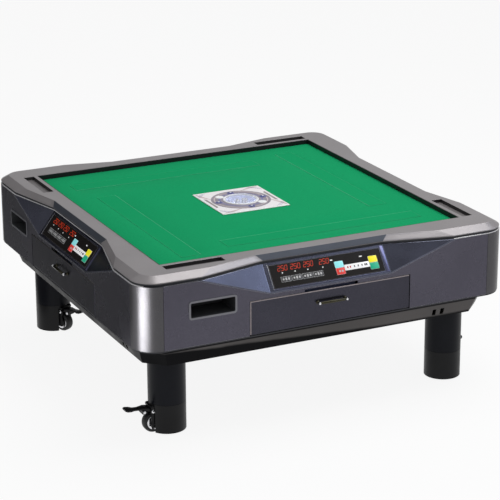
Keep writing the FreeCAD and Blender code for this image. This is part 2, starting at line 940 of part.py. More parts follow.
hopper_out = lift_offset - size.lift_wide / 2 - size.hopper_gap
hopper_in = hopper_out - size.hopper_wall
drum_radius = hopper_in - size.drum_gap
drum_low = pan_floor + size.drum_height
seat_high = drum_low - size.drum_hub_drop
post_high = mat_high - size.console_plug_tall - size.post_gap
column_bore = size.column_radius + size.sliding_fit


def make_hopper():
    return cut("hopper_ring",
               cylinder("hopper_outer", hopper_out, (drum_low + size.drum_gap, deck_low)),
               cylinder("hopper_inner", hopper_in, (drum_low, deck_low + size.overrun)))


def make_centre_post():
    return spin("centre_post", [
        (column_bore, pan_floor), (size.post_flange, pan_floor),
        (size.post_flange, pan_floor + size.post_flange_thick),
        (size.drum_hub, pan_floor + size.post_flange_thick), (size.drum_hub, seat_high),
        (size.post_radius, seat_high), (size.post_radius, post_high), (column_bore, post_high),
    ])


def make_drum():
    bore = size.post_radius + size.running_fit
    hub_low = seat_high + size.sliding_fit
    disc = spin("drum_disc", [
        (bore, hub_low), (size.drum_hub, hub_low), (size.drum_hub, drum_low), (drum_radius, drum_low),
        (drum_radius, drum_low + size.drum_thick), (size.drum_hub, drum_low + size.drum_thick),
        (size.drum_hub, drum_low + size.drum_hub_tall), (bore, drum_low + size.drum_hub_tall),
    ])
    top = drum_low + size.drum_thick
    rib = box("drum_rib", (size.drum_hub - size.drum_gap, drum_radius - size.drum_rib_wide),
              (-size.drum_rib_wide / 2, size.drum_rib_wide / 2),
              (drum_low, top + size.drum_rib_tall))
    return fuse("shuffle_drum", disc, *around("drum_rib", rib))


roller_z = drum_low - size.sliding_fit - size.roller_radius
roller_reach = drum_radius - size.roller_inset
motor_start = roller_reach + size.roller_wide + size.drum_gap


def to_diagonal(piece):
    """Stand a drive piece between two sides of the table."""
    piece.Placement = FreeCAD.Placement(
        FreeCAD.Vector(0, 0, 0), FreeCAD.Rotation(FreeCAD.Vector(0, 0, 1), 45))
    return piece


def make_roller():
    tyre = pin_along_x("roller_tyre", size.roller_radius,
                       (roller_reach, roller_reach + size.roller_wide), ZERO, roller_z)
    shaft = pin_along_x("roller_shaft", size.roller_shaft,
                        (roller_reach, motor_start + size.motor_long / 2), ZERO, roller_z)
    return to_diagonal(fuse("drum_roller", tyre, shaft))


def make_motor():
    end = motor_start + size.motor_long
    can = pin_along_x("motor_can", size.motor_radius, (motor_start, end), ZERO, roller_z)
    foot = box("motor_foot", (motor_start, end), (-size.motor_foot / 2, size.motor_foot / 2),
               (pan_floor, roller_z))
    bore = pin_along_x("motor_bore", size.roller_shaft + size.running_fit,
                       (motor_start - size.overrun, motor_start + size.motor_long / 2 + size.overrun),
                       ZERO, roller_z)
    return to_diagonal(cut("drum_motor", fuse("motor_blank", can, foot), bore))


def make_control_box():
    xs = (-size.control_x - size.control_long, -size.control_x)
    ys = (control_back - size.control_wide, control_back)
    body = new_body("control_box")
    base = draw(body, "control_outline", "XY_Plane", pan_floor, rectangle(xs, ys))
    bevel_face(body, pad(body, base, size.control_tall), (0, 0, 1), size.control_bevel)
    return body


def make_inlet():
    """A recessed socket in the pan's floor, open downwards."""
    low = pan_low - size.inlet_proud
    wall = size.inlet_wall
    outer = box("inlet_outer", inlet_xs, inlet_ys, (low, low + size.inlet_tall))
    hollow = box("inlet_hollow", (inlet_xs[0] + wall, inlet_xs[1] - wall),
                 (inlet_ys[0] + wall, inlet_ys[1] - wall), (low - size.overrun, low + size.inlet_recess))
    return cut("power_inlet", outer, hollow)


# Centre console: plate with a dice cup, dome, dice on their disc, two buttons and the lift column

plate_low = mat_high + size.sliding_fit
plate_high = plate_low + size.console_thick
plug_low = mat_high - size.console_plug_tall
cup_low = plate_high - size.cup_deep
disc_low = cup_low + size.sliding_fit
button_low = plate_high + size.button_proud - size.button_tall


def button_places():
    return ((-size.button_place, size.button_place), (size.button_place, -size.button_place))


def make_console_plate():
    body = new_body("console_plate")
    plate = draw(body, "console_outline", "XY_Plane", plate_low, square(size.console_half))
    bevel_face(body, pad(body, plate, size.console_thick), (0, 0, 1), size.console_bevel)
    plug = draw(body, "console_plug_outline", "XY_Plane", plug_low,
                square(console_hole - size.console_plug_gap))
    pad(body, plug, plate_low - plug_low)
    cup = draw(body, "console_cup_outline", "XY_Plane", plate_high)
    add_circle(cup, ZERO, ZERO, size.cup_radius)
    pocket(body, cup, size.cup_deep)
    wells = draw(body, "console_button_outline", "XY_Plane", plate_high)
    for x, y in button_places():
        add_circle(wells, x, y, size.button_radius + size.sliding_fit)
    pocket(body, wells, size.button_tall - size.button_proud + size.button_travel)
    shaft = draw(body, "console_shaft_outline", "XY_Plane", plate_high)
    add_circle(shaft, ZERO, ZERO, size.disc_shaft + size.running_fit)
    pocket(body, shaft, plate_high - plug_low)
    return body


def make_column():
    return cut("console_column",
               cylinder("column_outer", size.column_radius, (plug_low - size.column_long, plug_low)),
               cylinder("column_inner", size.column_radius - size.column_wall,
                        (plug_low - size.column_long - size.overrun, plug_low + size.overrun)))


def make_dome():
    """A clear cover with an upright edge, a sloping shoulder and a flat top."""
    inner = size.dome_radius - size.dome_wall
    shoulder = plate_high + size.dome_edge
    top = plate_high + size.dome_rise
    return spin("console_dome", [
        (inner, plate_high), (size.dome_radius, plate_high), (size.dome_radius, shoulder),
        (size.dome_radius - size.dome_slope, top), (ZERO, top), (ZERO, top - size.dome_wall),
        (inner - size.dome_slope, top - size.dome_wall), (inner, shoulder),
    ])


def make_turntable():
    return fuse("turntable",
                cylinder("disc_plate", size.disc_radius, (disc_low, disc_low + size.disc_thick)),
                cylinder("disc_shaft", size.disc_shaft, (plug_low, disc_low)))


def make_dice():
    low = disc_low + size.disc_thick + size.sliding_fit
    dice = []
    for number, side in enumerate((-1, 1)):
        body = new_body("die_%d" % number)
        middle = size.die_apart * side
        half = size.die_edge / 2
        face = draw(body, "die_outline_%d" % number, "XY_Plane", low,
                    rectangle((middle - half, middle + half), (-half, half)))
        cube = pad(body, face, size.die_edge)
        doc.recompute()
        edges = body.newObject("PartDesign::Chamfer", "die_edges_%d" % number)
        edges.Base = (cube, ["Edge%d" % (edge + 1) for edge in range(len(cube.Shape.Edges))])
        bind(edges, "Size", size.die_bevel)
        dice.append(body)
    return dice


def make_button(name, place):
    return cylinder(name, size.button_radius, (button_low, button_low + size.button_tall), *place)


# Legs and casters

leg_spread = pan_foot_half - size.leg_radius - size.leg_inset
wheel_high = size.wheel_radius * 2
hood_high = wheel_high + size.wheel_headroom + size.hood_plate
leg_low = hood_high + size.swivel_gap
cheek_in = size.wheel_wide / 2 + size.cheek_gap
cheek_out = cheek_in + size.cheek_wall
pedal_x = size.caster_offset + size.pedal_shift
pedal_z = wheel_high + size.pedal_lift


def on_legs(name, piece):
    """Copies of a leg piece under the four corners of the pan."""
    copies = []
    for corner, (x, y) in zip(CORNERS, ((-1, -1), (1, -1), (1, 1), (-1, 1))):
        copies.append(move(group("%s_%s" % (name, corner), [piece]), leg_spread * x, leg_spread * y))
    return copies


def on_casters(name, piece):
    """Copies of a caster piece under the legs, each trailing its own way."""
    copies = []
    for corner, heading, (x, y) in zip(CORNERS, CASTER_HEADINGS, ((-1, -1), (1, -1), (1, 1), (-1, 1))):
        copy = group("%s_%s" % (name, corner), [piece])
        copies.append(move(copy, leg_spread * x, leg_spread * y, ZERO, (0, 0, 1), heading))
    return copies


def make_leg():
    inner = size.leg_radius - size.leg_wall
    return spin("leg_tube", [
        (inner, leg_low), (size.leg_radius, leg_low), (size.leg_radius, pan_low),
        (ZERO, pan_low), (ZERO, pan_low - size.leg_cap), (inner, pan_low - size.leg_cap),
    ])


def make_leg_plug():
    bore = size.stem_radius + size.running_fit
    return spin("leg_plug", [
        (bore, leg_low), (size.leg_radius - size.leg_wall, leg_low),
        (size.leg_radius - size.leg_wall, leg_low + size.plug_tall), (bore, leg_low + size.plug_tall),
    ])


def make_hood():
    """A round hood with a stem, open on the wheel's side, with two cheeks for axle and pedal pin."""
    plate_under = hood_high - size.hood_plate
    inner = size.leg_radius - size.hood_wall
    cap = spin("hood_cap", [
        (ZERO, plate_under), (inner, plate_under), (inner, size.hood_clear),
        (size.leg_radius, size.hood_clear), (size.leg_radius, hood_high), (size.stem_radius, hood_high),
        (size.stem_radius, leg_low + size.stem_tall), (ZERO, leg_low + size.stem_tall),
    ])
    mouth_half = cheek_out + size.mouth_gap
    mouth = box("hood_mouth", (ZERO, size.leg_radius + size.overrun), (-mouth_half, mouth_half),
                (ZERO, plate_under))
    front = size.caster_offset + size.cheek_front
    cheeks = []
    for side in (-1, 1):
        ys = (cheek_in, cheek_out) if side > 0 else (-cheek_out, -cheek_in)
        cheeks.append(box("hood_cheek_%d" % side, (size.caster_offset - size.cheek_back, front), ys,
                          (size.wheel_radius - size.cheek_drop, plate_under + size.hood_plate / 2)))
    across = (-cheek_out - size.cheek_wall / 2, cheek_out + size.cheek_wall / 2)
    axle = pin_along_y("hood_axle", size.axle_radius, across, size.caster_offset, size.wheel_radius)
    pin = pin_along_y("hood_pedal_pin", size.pedal_pin, across, pedal_x, pedal_z)
    return fuse("caster_hood", cut("hood_shell", cap, mouth), *cheeks, axle, pin)


def make_wheel():
    half = size.wheel_wide / 2
    bore = size.axle_radius + size.running_fit
    dish = half - size.wheel_dish
    rim = size.wheel_radius - size.wheel_dish
    wheel = spin("wheel_turning", [
        (bore, -half), (size.wheel_hub / 2, -half), (size.wheel_hub / 2, -dish), (size.wheel_hub, -dish),
        (size.wheel_hub, -half), (rim, -half), (size.wheel_radius, -dish), (size.wheel_radius, dish),
        (rim, half), (size.wheel_hub, half), (size.wheel_hub, dish), (size.wheel_hub / 2, dish),
        (size.wheel_hub / 2, half), (bore, half),
    ])
    return move(group("caster_wheel", [wheel]), size.caster_offset, ZERO, size.wheel_radius, (1, 0, 0), -90)


def make_pedal():
    """A lever over the wheel, hinged on the hood's pin, with a brake pad and a tip turned up a little."""
    half = cheek_in - size.pedal_side_gap
    thick = size.pedal_thick
    eye = size.pedal_eye
    tip = pedal_x + size.pedal_reach
    bend = pedal_x + size.pedal_reach / 2
    body = new_body("caster_pedal")
    under = pedal_z - thick / 2
    over = pedal_z + thick / 2
    pad_start = pedal_x + size.pedal_pad_start
    pad_end = pad_start + size.pedal_pad_long
    outline = [
        (pedal_x, pedal_z - eye), (pad_start, under), (pad_start, pedal_z - size.pedal_pad_drop),
        (pad_end, pedal_z - size.pedal_pad_drop), (pad_end, under), (bend, under),
        (tip, under + size.pedal_tip_rise), (tip, over + size.pedal_tip_rise), (bend, over),
        (pedal_x, pedal_z + eye, eye), (pedal_x - eye, pedal_z, eye),
    ]
    profile = draw(body, "pedal_profile", "XZ_Plane", -half, outline)
    pad(body, profile, half * 2)
    hole = draw(body, "pedal_hole", "XZ_Plane", half)
    add_circle(hole, pedal_x, pedal_z, size.pedal_pin + size.running_fit)
    pocket(body, hole, half * 2)
    return body


# Assembly

node(make_top_rim())
node(make_liner())
node(make_seals())
node(make_deck())
node(make_mat())
for lift in around("tile_lift", make_lift()):
    node(lift)

recess = make_recess()
window = make_window()
shell, housing = make_housing(recess, window)
node(group("side_panels", around("side_panel", make_boards(recess, shell))))
node(group("corner_posts", around("corner_post", make_corner_post(), CORNERS)))
node(group("score_housings", around("score_housing", housing)))
node(group("score_windows", around("score_window", window)))
node(group("score_keys", around("score_keys", make_keys())))
node(group("score_boards", around("score_board", make_board())))
for copy in around("side_bin", make_bin()):
    node(copy)

for piece in (make_drawer_face(), make_drawer_box(), make_drawer_handle()):
    for copy in around(piece.Name, piece):
        node(copy)
runners = group("runner_pair", [make_runner(-1), make_runner(1)])
node(group("drawer_runners", around("drawer_runners", runners)))

node(make_base_pan())
node(group("chassis_frame", [make_chassis(), *around("lift_guide", make_guide())]))
node(make_hopper())
node(make_centre_post())
node(make_drum())
node(make_roller())
node(make_motor())
node(make_control_box())
node(make_inlet())

node(make_console_plate())
node(make_column())
node(make_dome())
node(group("dice_disc", [make_turntable(), *make_dice()]))
for name, place in zip(("console_button_left", "console_button_right"), button_places()):
    node(make_button(name, place))

node(group("leg_tubes", on_legs("leg", group("leg_with_plug", [make_leg(), make_leg_plug()]))))
for piece in (make_hood(), make_wheel(), make_pedal()):
    for copy in on_casters(piece.Name, piece):
        node(copy)

doc.recompute()

for thing in doc.Objects:
    if "Invalid" in thing.State or "Error" in thing.State:
        raise RuntimeError("%s failed: %s" % (thing.Name, thing.State))

os.makedirs("parts", exist_ok=True)
for piece in NODES:
    if piece.Shape.isNull() or not piece.Shape.isValid() or not piece.Shape.Solids:
        raise RuntimeError("%s has no sound shape" % piece.Name)
for piece in NODES:
    piece.Shape.exportStep("parts/%s.step" % piece.Label)
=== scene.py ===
# %% [markdown]
# # A low automatic mahjong table
#
# The table is a deep square body on four thick legs: a grey rim round green felt, a white console in
# the middle, and in every side a slanted score display, a drawer and a small bin. Its solids come from
# the CAD model and stay where they are. Blender gives them their finishes and adds what is too fine
# for CAD: the felt, keys, digits, pulls, tyres, pedals and rivets. The model counts in metres and new
# pieces are drawn in millimetres: `box_mm` and `move` translate between the two.

# %% Load the solids
from math import cos, pi, radians, sin, tan

import bmesh
import bpy
from mathutils import Matrix, Vector


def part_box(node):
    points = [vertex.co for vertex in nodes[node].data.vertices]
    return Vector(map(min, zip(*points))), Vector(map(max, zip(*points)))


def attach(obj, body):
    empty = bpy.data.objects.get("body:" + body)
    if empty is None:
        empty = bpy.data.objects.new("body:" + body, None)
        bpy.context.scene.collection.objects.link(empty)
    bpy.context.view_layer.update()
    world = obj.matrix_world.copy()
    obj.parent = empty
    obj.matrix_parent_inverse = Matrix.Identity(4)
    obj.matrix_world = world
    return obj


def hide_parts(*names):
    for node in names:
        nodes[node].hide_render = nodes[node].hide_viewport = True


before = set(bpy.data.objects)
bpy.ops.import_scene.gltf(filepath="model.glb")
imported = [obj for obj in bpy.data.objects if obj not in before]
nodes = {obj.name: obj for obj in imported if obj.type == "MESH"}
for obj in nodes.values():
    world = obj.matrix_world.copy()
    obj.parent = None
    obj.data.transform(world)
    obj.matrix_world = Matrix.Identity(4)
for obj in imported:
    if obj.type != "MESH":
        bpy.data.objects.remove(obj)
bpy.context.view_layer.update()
scene = bpy.context.scene
MM = 0.001


def box_mm(node):
    return [[round(value / MM, 2) for value in corner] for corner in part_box(node)]


TABLE_TOP = box_mm("top_rim")[1][2]

# %% [markdown]
# ## Where the photographer stood
#
# The picture is a product shot from a little to the left of the front corner and just above the table.
# A camera could be dragged by eye. Here it is set from a direction, a distance and a lens that were
# fitted to the edges of the playing field, so that pieces land where they should.

# %% Camera
AZIMUTH = radians(-25.9462)
ELEVATION = radians(18.5969)
ROLL = radians(-0.2061)
DISTANCE, AIM_RIGHT, AIM_UP = 5.0610, 0.02244, -0.13673
LENS, SENSOR = 144.52, 36


def add_object(name, data):
    thing = bpy.data.objects.new(name, data)
    scene.collection.objects.link(thing)
    return thing


right = Vector((cos(AZIMUTH), sin(AZIMUTH), 0))
back = Vector((sin(AZIMUTH) * cos(ELEVATION), -cos(AZIMUTH) * cos(ELEVATION), sin(ELEVATION)))
up = back.cross(right)
eye = Vector((0, 0, TABLE_TOP * MM)) + right * AIM_RIGHT + up * AIM_UP + back * DISTANCE
tilt = Matrix.Rotation(ROLL, 3, back)
facing = Matrix((tilt @ right, tilt @ up, back)).transposed().to_4x4()
lens = bpy.data.cameras.new("product_camera")
lens.sensor_width = SENSOR
lens.lens = LENS
camera = add_object("product_camera", lens)
camera.matrix_world = Matrix.Translation(eye) @ facing
scene.camera = camera
scene.view_settings.view_transform = "Standard"
print("camera at", tuple(round(v, 3) for v in eye))

# %% [markdown]
# ## A white studio
#
# Shiny paint and chrome show what stands round them, so a studio is mostly large soft sources and dark
# cards. One broad lamp overhead gives the light. A cool lamp and two dark cards are seen in reflections
# only, so they tint the right side and keep the left side dark without changing the colours. The low
# strip draws the highlight on the corner posts, and light linking keeps its glare off everything else.

# %% Lamps
ROOM_TINT, ROOM_LIGHT = (0.97, 0.98, 1, 1), 0.42


def lamp(name, spot, aim, size, radiance, tint=(1, 1, 1), reflected_only=False):
    data = bpy.data.lights.new(name, "AREA")
    data.shape = "RECTANGLE"
    data.size, data.size_y = size
    data.energy = radiance * pi * size[0] * size[1]
    data.color = tint
    thing = add_object(name, data)
    thing.location = spot
    thing.rotation_euler = (Vector(aim) - Vector(spot)).to_track_quat("-Z", "Y").to_euler()
    thing.visible_camera = False
    thing.visible_diffuse = not reflected_only
    return thing


world = bpy.data.worlds.new("pale_room")
scene.world = world
world.use_nodes = True
room = world.node_tree.nodes["Background"].inputs
room["Color"].default_value = ROOM_TINT
room["Strength"].default_value = ROOM_LIGHT
lamp("overhead_softbox", spot=(0.78, -0.24, 2.7), aim=(0, -0.1, 0.4), size=(2.1, 2.0), radiance=3.4)
low_strip = lamp("low_strip", spot=(-1.34, -0.80, 0.012), aim=(-1.34, -0.80, 1), size=(0.7, 0.7),
                 radiance=23, reflected_only=True)
strip_lit = bpy.data.collections.new("lit_by_low_strip")
strip_lit.objects.link(nodes["corner_posts"])
low_strip.light_linking.receiver_collection = strip_lit
lamp("cool_card", spot=(2.16, -1.05, 2.1), aim=(0, 0, 0.37), size=(2.0, 1.5), radiance=2.15,
     tint=(0.66, 0.77, 1), reflected_only=True)

# %% Floor and cards
FLOOR_HALF = 60
CARD_ON_FLOOR = ((-1.55, 0.1, 0.004), (-0.56, 0.1, 0.004), (-0.56, 2.1, 0.004), (-1.55, 2.1, 0.004))
CARD_BEHIND = ((-1.75, 1.8, 0), (-0.3, 2.6, 0), (-0.3, 2.6, 2.2), (-1.75, 1.8, 2.2))


def rectangle(xs, ys):
    return [(xs[0], ys[0]), (xs[1], ys[0]), (xs[1], ys[1]), (xs[0], ys[1])]


def flat_patch(name, corners):
    mesh = bpy.data.meshes.new(name)
    mesh.from_pydata(corners, [], [(0, 1, 2, 3)])
    thing = add_object(name, mesh)
    return thing


wide = (-FLOOR_HALF, FLOOR_HALF)
floor = flat_patch("studio_floor", [(x, y, 0) for x, y in rectangle(wide, wide)])
dark_cards = [flat_patch("card_on_floor", CARD_ON_FLOOR), flat_patch("card_behind", CARD_BEHIND)]
for card in dark_cards:
    card.visible_camera = False
    card.visible_diffuse = False
    card.visible_shadow = False
print("studio:", floor.name, [card.name for card in dark_cards])

# %% [markdown]
# ## Small helpers for shader nodes
#
# Node trees are easy to read when every node says in one line what goes into it. `place` adds a node
# and fills its inputs with values or with wires from other nodes. `new_group` makes a group with named
# sockets, and `effect` puts it into a finish, so that one effect serves many finishes.

# %% Node helpers
def set_all(thing, settings):
    for name, value in settings.items():
        setattr(thing, name, value)


def fill(tree, node, inputs):
    for name, value in inputs.items():
        if isinstance(value, bpy.types.NodeSocket):
            tree.links.new(value, node.inputs[name])
        else:
            node.inputs[name].default_value = value


def place(tree, kind, inputs=None, **settings):
    made = tree.nodes.new(kind)
    set_all(made, settings)
    fill(tree, made, inputs or {})
    return made.outputs


SOCKETS = {"Color": "Color", "Bright": "Color", "Coat": "Color", "Geometry": "Geometry", "Toward": "Vector"}


def new_group(name, inputs, outputs, kind="ShaderNodeTree"):
    tree = bpy.data.node_groups.new(name, kind)
    for way, titles in (("INPUT", inputs), ("OUTPUT", outputs)):
        for title in titles.split():
            socket = "NodeSocket" + SOCKETS.get(title, "Float")
            tree.interface.new_socket(name=title, in_out=way, socket_type=socket)
    return tree, tree.nodes.new("NodeGroupInput").outputs, tree.nodes.new("NodeGroupOutput").inputs


def effect(tree, group, **values):
    return place(tree, "ShaderNodeGroup", values, node_tree=group)


print("sockets that aren't plain numbers:", list(SOCKETS))

# %% Node shorthands
# A Mix node has sockets for every kind of data: those for colours are 0, 6 and 7, and 2 is the result.
def blend(tree, share, first, second):
    return place(tree, "ShaderNodeMix", {0: share, 6: first, 7: second}, data_type="RGBA")[2]


def calc(tree, way, *values):
    return place(tree, "ShaderNodeMath", dict(enumerate(values)), operation=way)[0]


def remap(tree, value, low, high, to_low=0.0, to_high=1.0):
    inputs = {"Value": value, "From Min": low, "From Max": high, "To Min": to_low, "To Max": to_high}
    return place(tree, "ShaderNodeMapRange", inputs)[0]


def noise(tree, where, scale, detail):
    return place(tree, "ShaderNodeTexNoise", {"Vector": where, "Scale": scale, "Detail": detail})[0]


def here(tree):
    return place(tree, "ShaderNodeTexCoord")["Object"]


print("shorthands:", [tool.__name__ for tool in (blend, calc, remap, noise, here)])

# %% [markdown]
# ## Effects that many finishes share
#
# No real surface has one colour: mouldings vary, paint holds flakes, fingers leave dull patches and
# plastic has a grain. All this could be painted on an image. Node groups on the object's own
# coordinates need none, and they keep their true scale on every piece. Felt has a nap that lies one
# way. The pan gets painted shade: its paint turns near black below a wavy line that rises towards one
# end, under its foot and along its top lip, where it is a painted shadow of the gap under the panels.

# %% Colour, gloss and grain
mottle, given, result = new_group("mottle", "Color Amount Scale", "Color")
cloud = remap(mottle, noise(mottle, here(mottle), given["Scale"], 4.0), 0.3, 0.7)
darker = blend(mottle, given["Amount"], given["Color"], (0, 0, 0, 1))
mottle.links.new(blend(mottle, cloud, darker, given["Color"]), result["Color"])

handling, given, result = new_group("handling", "Clean Marked Scale", "Roughness")
smears = noise(handling, here(handling), given["Scale"], 6.0)
handling.links.new(remap(handling, smears, 0.35, 0.7, given["Clean"], given["Marked"]), result["Roughness"])

grain, given, result = new_group("grain", "Scale", "Height")
pebbles = place(grain, "ShaderNodeTexVoronoi", {"Vector": here(grain), "Scale": given["Scale"]})
soft = noise(grain, here(grain), given["Scale"], 2.0)
grain.links.new(calc(grain, "ADD", pebbles["Distance"], soft), result["Height"])

flake, given, result = new_group("flake", "Color Bright Scale", "Color")
specks = place(flake, "ShaderNodeTexVoronoi", {"Vector": here(flake), "Scale": given["Scale"]})
chance = place(flake, "ShaderNodeSeparateColor", {"Color": specks["Color"]})
few = remap(flake, chance[0], 0.55, 1.0)
flake.links.new(blend(flake, few, given["Color"], given["Bright"]), result["Color"])
print("effects:", [tree.name for tree in (mottle, handling, grain, flake)])

# %% Felt fibres
fibres, given, result = new_group("fibres", "Color Scale", "Color Height")
tree = fibres
lie = place(tree, "ShaderNodeMapping", {"Vector": here(tree), "Scale": (1, 0.25, 1)})
nap = noise(tree, lie[0], given["Scale"], 5.0)
worn = remap(tree, noise(tree, here(tree), 2.2, 2.0), 0.4, 0.7)
nap_dark = blend(tree, 0.22, given["Color"], (0, 0.05, 0.02, 1))
nap_mix = blend(tree, remap(tree, nap, 0.3, 0.62), nap_dark, given["Color"])
walked = blend(tree, 0.06, nap_mix, (0, 0.2, 0.07, 1))
tree.links.new(blend(tree, worn, nap_mix, walked), result["Color"])
tree.links.new(nap, result["Height"])
print("effect:", tree.name)

# %% Painted shade on the pan
RIPPLE, LIP_EDGE = 3 * MM, 1 * MM
# Painted shade: near black below a wavy line that climbs towards -x, below Foot and above Lip.
pan_painted_shade, given, result = new_group("pan_painted_shade", "Color Coat Level Fall Foot Lip", "Color")
tree = pan_painted_shade
spot = here(tree)
axes = place(tree, "ShaderNodeSeparateXYZ", {0: spot})
fallen = calc(tree, "MULTIPLY_ADD", axes["X"], given["Fall"], axes["Z"])
ripple = remap(tree, noise(tree, spot, 14, 4.0), 0, 1, -RIPPLE, RIPPLE)
over = calc(tree, "SUBTRACT", calc(tree, "ADD", fallen, ripple), given["Level"])
clear = calc(tree, "SUBTRACT", axes["Z"], given["Foot"])
bare = remap(tree, calc(tree, "MINIMUM", over, clear), -RIPPLE, RIPPLE)
lip = remap(tree, calc(tree, "SUBTRACT", axes["Z"], given["Lip"]), -LIP_EDGE, LIP_EDGE)
band = blend(tree, bare, given["Coat"], given["Color"])
tree.links.new(blend(tree, lip, band, given["Coat"]), result["Color"])
print("effect:", tree.name)

# %% [markdown]
# ## A recipe for a finish
#
# Most pieces are painted metal or moulded plastic, and differ only in colour, gloss and grain. One
# recipe builds them all: mottled colour, gloss from clean to handled, and grain in the normal. What is
# the same all over, such as metalness, is set on the shader itself. The floor glows where a camera ray,
# a reflection or a ray through glass meets it, so it looks white and still takes a soft shadow.

# %% Finish recipe
FLAKE_SCALE = 2400
finishes = {}


def new_finish(name):
    made = bpy.data.materials.new(name)
    made.use_nodes = True
    finishes[name] = made
    return made.node_tree, made.node_tree.nodes["Principled BSDF"]


# Gloss is the roughness where clean and where handled. Patch, marks and grit are noise scales.
def finish(name, colour, gloss=(0.35, 0.5), tone=0.1, patch=9, marks=16, grit=700, depth=0.02,
           flakes=None, glow=None, shine=0.5, **shader):
    tree, surface = new_finish(name)
    base = (*colour, 1)
    if glow:
        fill(tree, surface, {"Emission Color": base, "Emission Strength": glow})
    if flakes:
        base = effect(tree, flake, Color=base, Bright=(*flakes, 1), Scale=FLAKE_SCALE)["Color"]
    toned = effect(tree, mottle, Color=base, Amount=tone, Scale=patch)
    rubbed = effect(tree, handling, Clean=gloss[0], Marked=gloss[1], Scale=marks)
    fill(tree, surface, {"Base Color": toned["Color"], "Roughness": rubbed["Roughness"],
                         "Specular IOR Level": shine})
    if depth:
        pits = effect(tree, grain, Scale=grit)["Height"]
        relief = place(tree, "ShaderNodeBump", {"Distance": depth * MM, "Height": pits})
        fill(tree, surface, {"Normal": relief["Normal"]})
    fill(tree, surface, {title.replace("_", " "): value for title, value in shader.items()})
    return tree, surface


def apply_finishes(mesh, names):
    for name in names.split():
        mesh.materials.append(finishes[name])


print("finishes so far:", len(finishes))

# %% Floor and card finishes
FLOOR_GLOW = 0.9
CARD_SHADES = (0.23, 0.01)
tree, surface = finish("white_floor", (0.92, 0.92, 0.92), (0.85, 0.95), tone=0.01, depth=0)
rays = place(tree, "ShaderNodeLightPath")
seen = calc(tree, "MAXIMUM", rays["Is Camera Ray"], rays["Is Glossy Ray"])
seen_or_through = calc(tree, "MAXIMUM", seen, rays["Is Transmission Ray"])
share = calc(tree, "MULTIPLY", seen_or_through, FLOOR_GLOW)
white = place(tree, "ShaderNodeEmission", {"Color": (1, 1, 1, 1), "Strength": 1})
both = place(tree, "ShaderNodeMixShader", {0: share, 1: surface.outputs[0], 2: white[0]})
fill(tree, tree.nodes["Material Output"], {"Surface": both[0]})
apply_finishes(floor.data, "white_floor")
for card, shade in zip(dark_cards, CARD_SHADES):
    finish(card.name, (shade, shade, shade), (0.9, 1), shine=0)
    apply_finishes(card.data, card.name)
print("studio finishes:", list(finishes))

# %% [markdown]
# ## Finishes for the body
#
# The rim is a satin warm grey moulding; its tray walls and floors carry painted shade, and the steep
# face over each display a darker, bluer painted shade and reflection. Sides and posts have dark
# metallic paint that looks black or blue as the studio changes round them: a high metalness and a dark
# base. A lighter version goes on rounded edges as a painted highlight. Drawer edges carry it bright on
# the front and back, and a dull copy as painted shade on the other two sides.

# %% Top and side finishes
finish("rim_grey", (0.315, 0.293, 0.296), (0.3, 0.38), tone=0.08, grit=900, depth=0.01,
       flakes=(0.35, 0.33, 0.335), Metallic=0.36)
# Painted shade and a painted cool reflection on the rim's steep faces over each display.
finish("brow_blue", (0.076, 0.084, 0.104), (0.3, 0.4), tone=0.15, depth=0.01, Metallic=0.25)
# Painted shade in the trays: walls near black, floors darker than the rim.
finish("tray_dark", (0.02, 0.018, 0.019), (0.4, 0.55))
finish("tray_floor", (0.17, 0.157, 0.159), (0.4, 0.55))
finish("trim_black", (0.008, 0.008, 0.01), (0.4, 0.6), shine=0.3)
# Black rubber for the seals and the roller; on the bead it is painted shade.
finish("seal_rubber", (0.008, 0.009, 0.016), grit=500)
finish("body_paint", (0.074, 0.071, 0.092), (0.24, 0.32), tone=0.2, patch=5, marks=10, grit=500,
       depth=0.01, flakes=(0.15, 0.14, 0.18), Metallic=0.9)
# A painted highlight for the bevelled edges of the sides.
finish("body_edge", (0.55, 0.54, 0.56), (0.35, 0.45), Metallic=0.25)
finish("post_paint", (0.073, 0.071, 0.076), (0.3, 0.36), tone=0.12, grit=500, depth=0.005,
       flakes=(0.12, 0.118, 0.124), Metallic=0.9)
finish("housing_paint", (0.074, 0.077, 0.106), (0.24, 0.34), tone=0.2, depth=0.01,
       flakes=(0.116, 0.121, 0.162), Metallic=0.85)
# A painted highlight for the bevelled edges of the display housings.
finish("housing_edge", (0.22, 0.23, 0.3), (0.2, 0.3), Metallic=0.85)
finish("drawer_paint", (0.044, 0.043, 0.058), (0.26, 0.34), tone=0.2, patch=6, depth=0.01,
       flakes=(0.078, 0.076, 0.096), Metallic=0.9)
# Drawer bevels: a bright painted highlight, and a dull copy as painted shade.
finish("drawer_edge", (0.52, 0.45, 0.45), (0.4, 0.5), Metallic=0.2)
finish("drawer_edge_dull", (0.11, 0.1, 0.1), (0.4, 0.5), Metallic=0.8)
finish("drawer_lining", (0.02, 0.02, 0.023), (0.5, 0.65), grit=400, depth=0.03)
finish("bin_black", (0.055, 0.056, 0.06), shine=0.4)
# A painted highlight round each bin opening: its lip and frame lighter than the panel.
finish("bin_frame", (0.2, 0.2, 0.22), (0.3, 0.4), Metallic=0.6)
print("finishes so far:", len(finishes))

# %% Base and inner finishes
tree, surface = finish("pan_paint", (0.122, 0.114, 0.112), tone=0.3, patch=4, grit=350, Metallic=0.4,
                       shine=0.05)
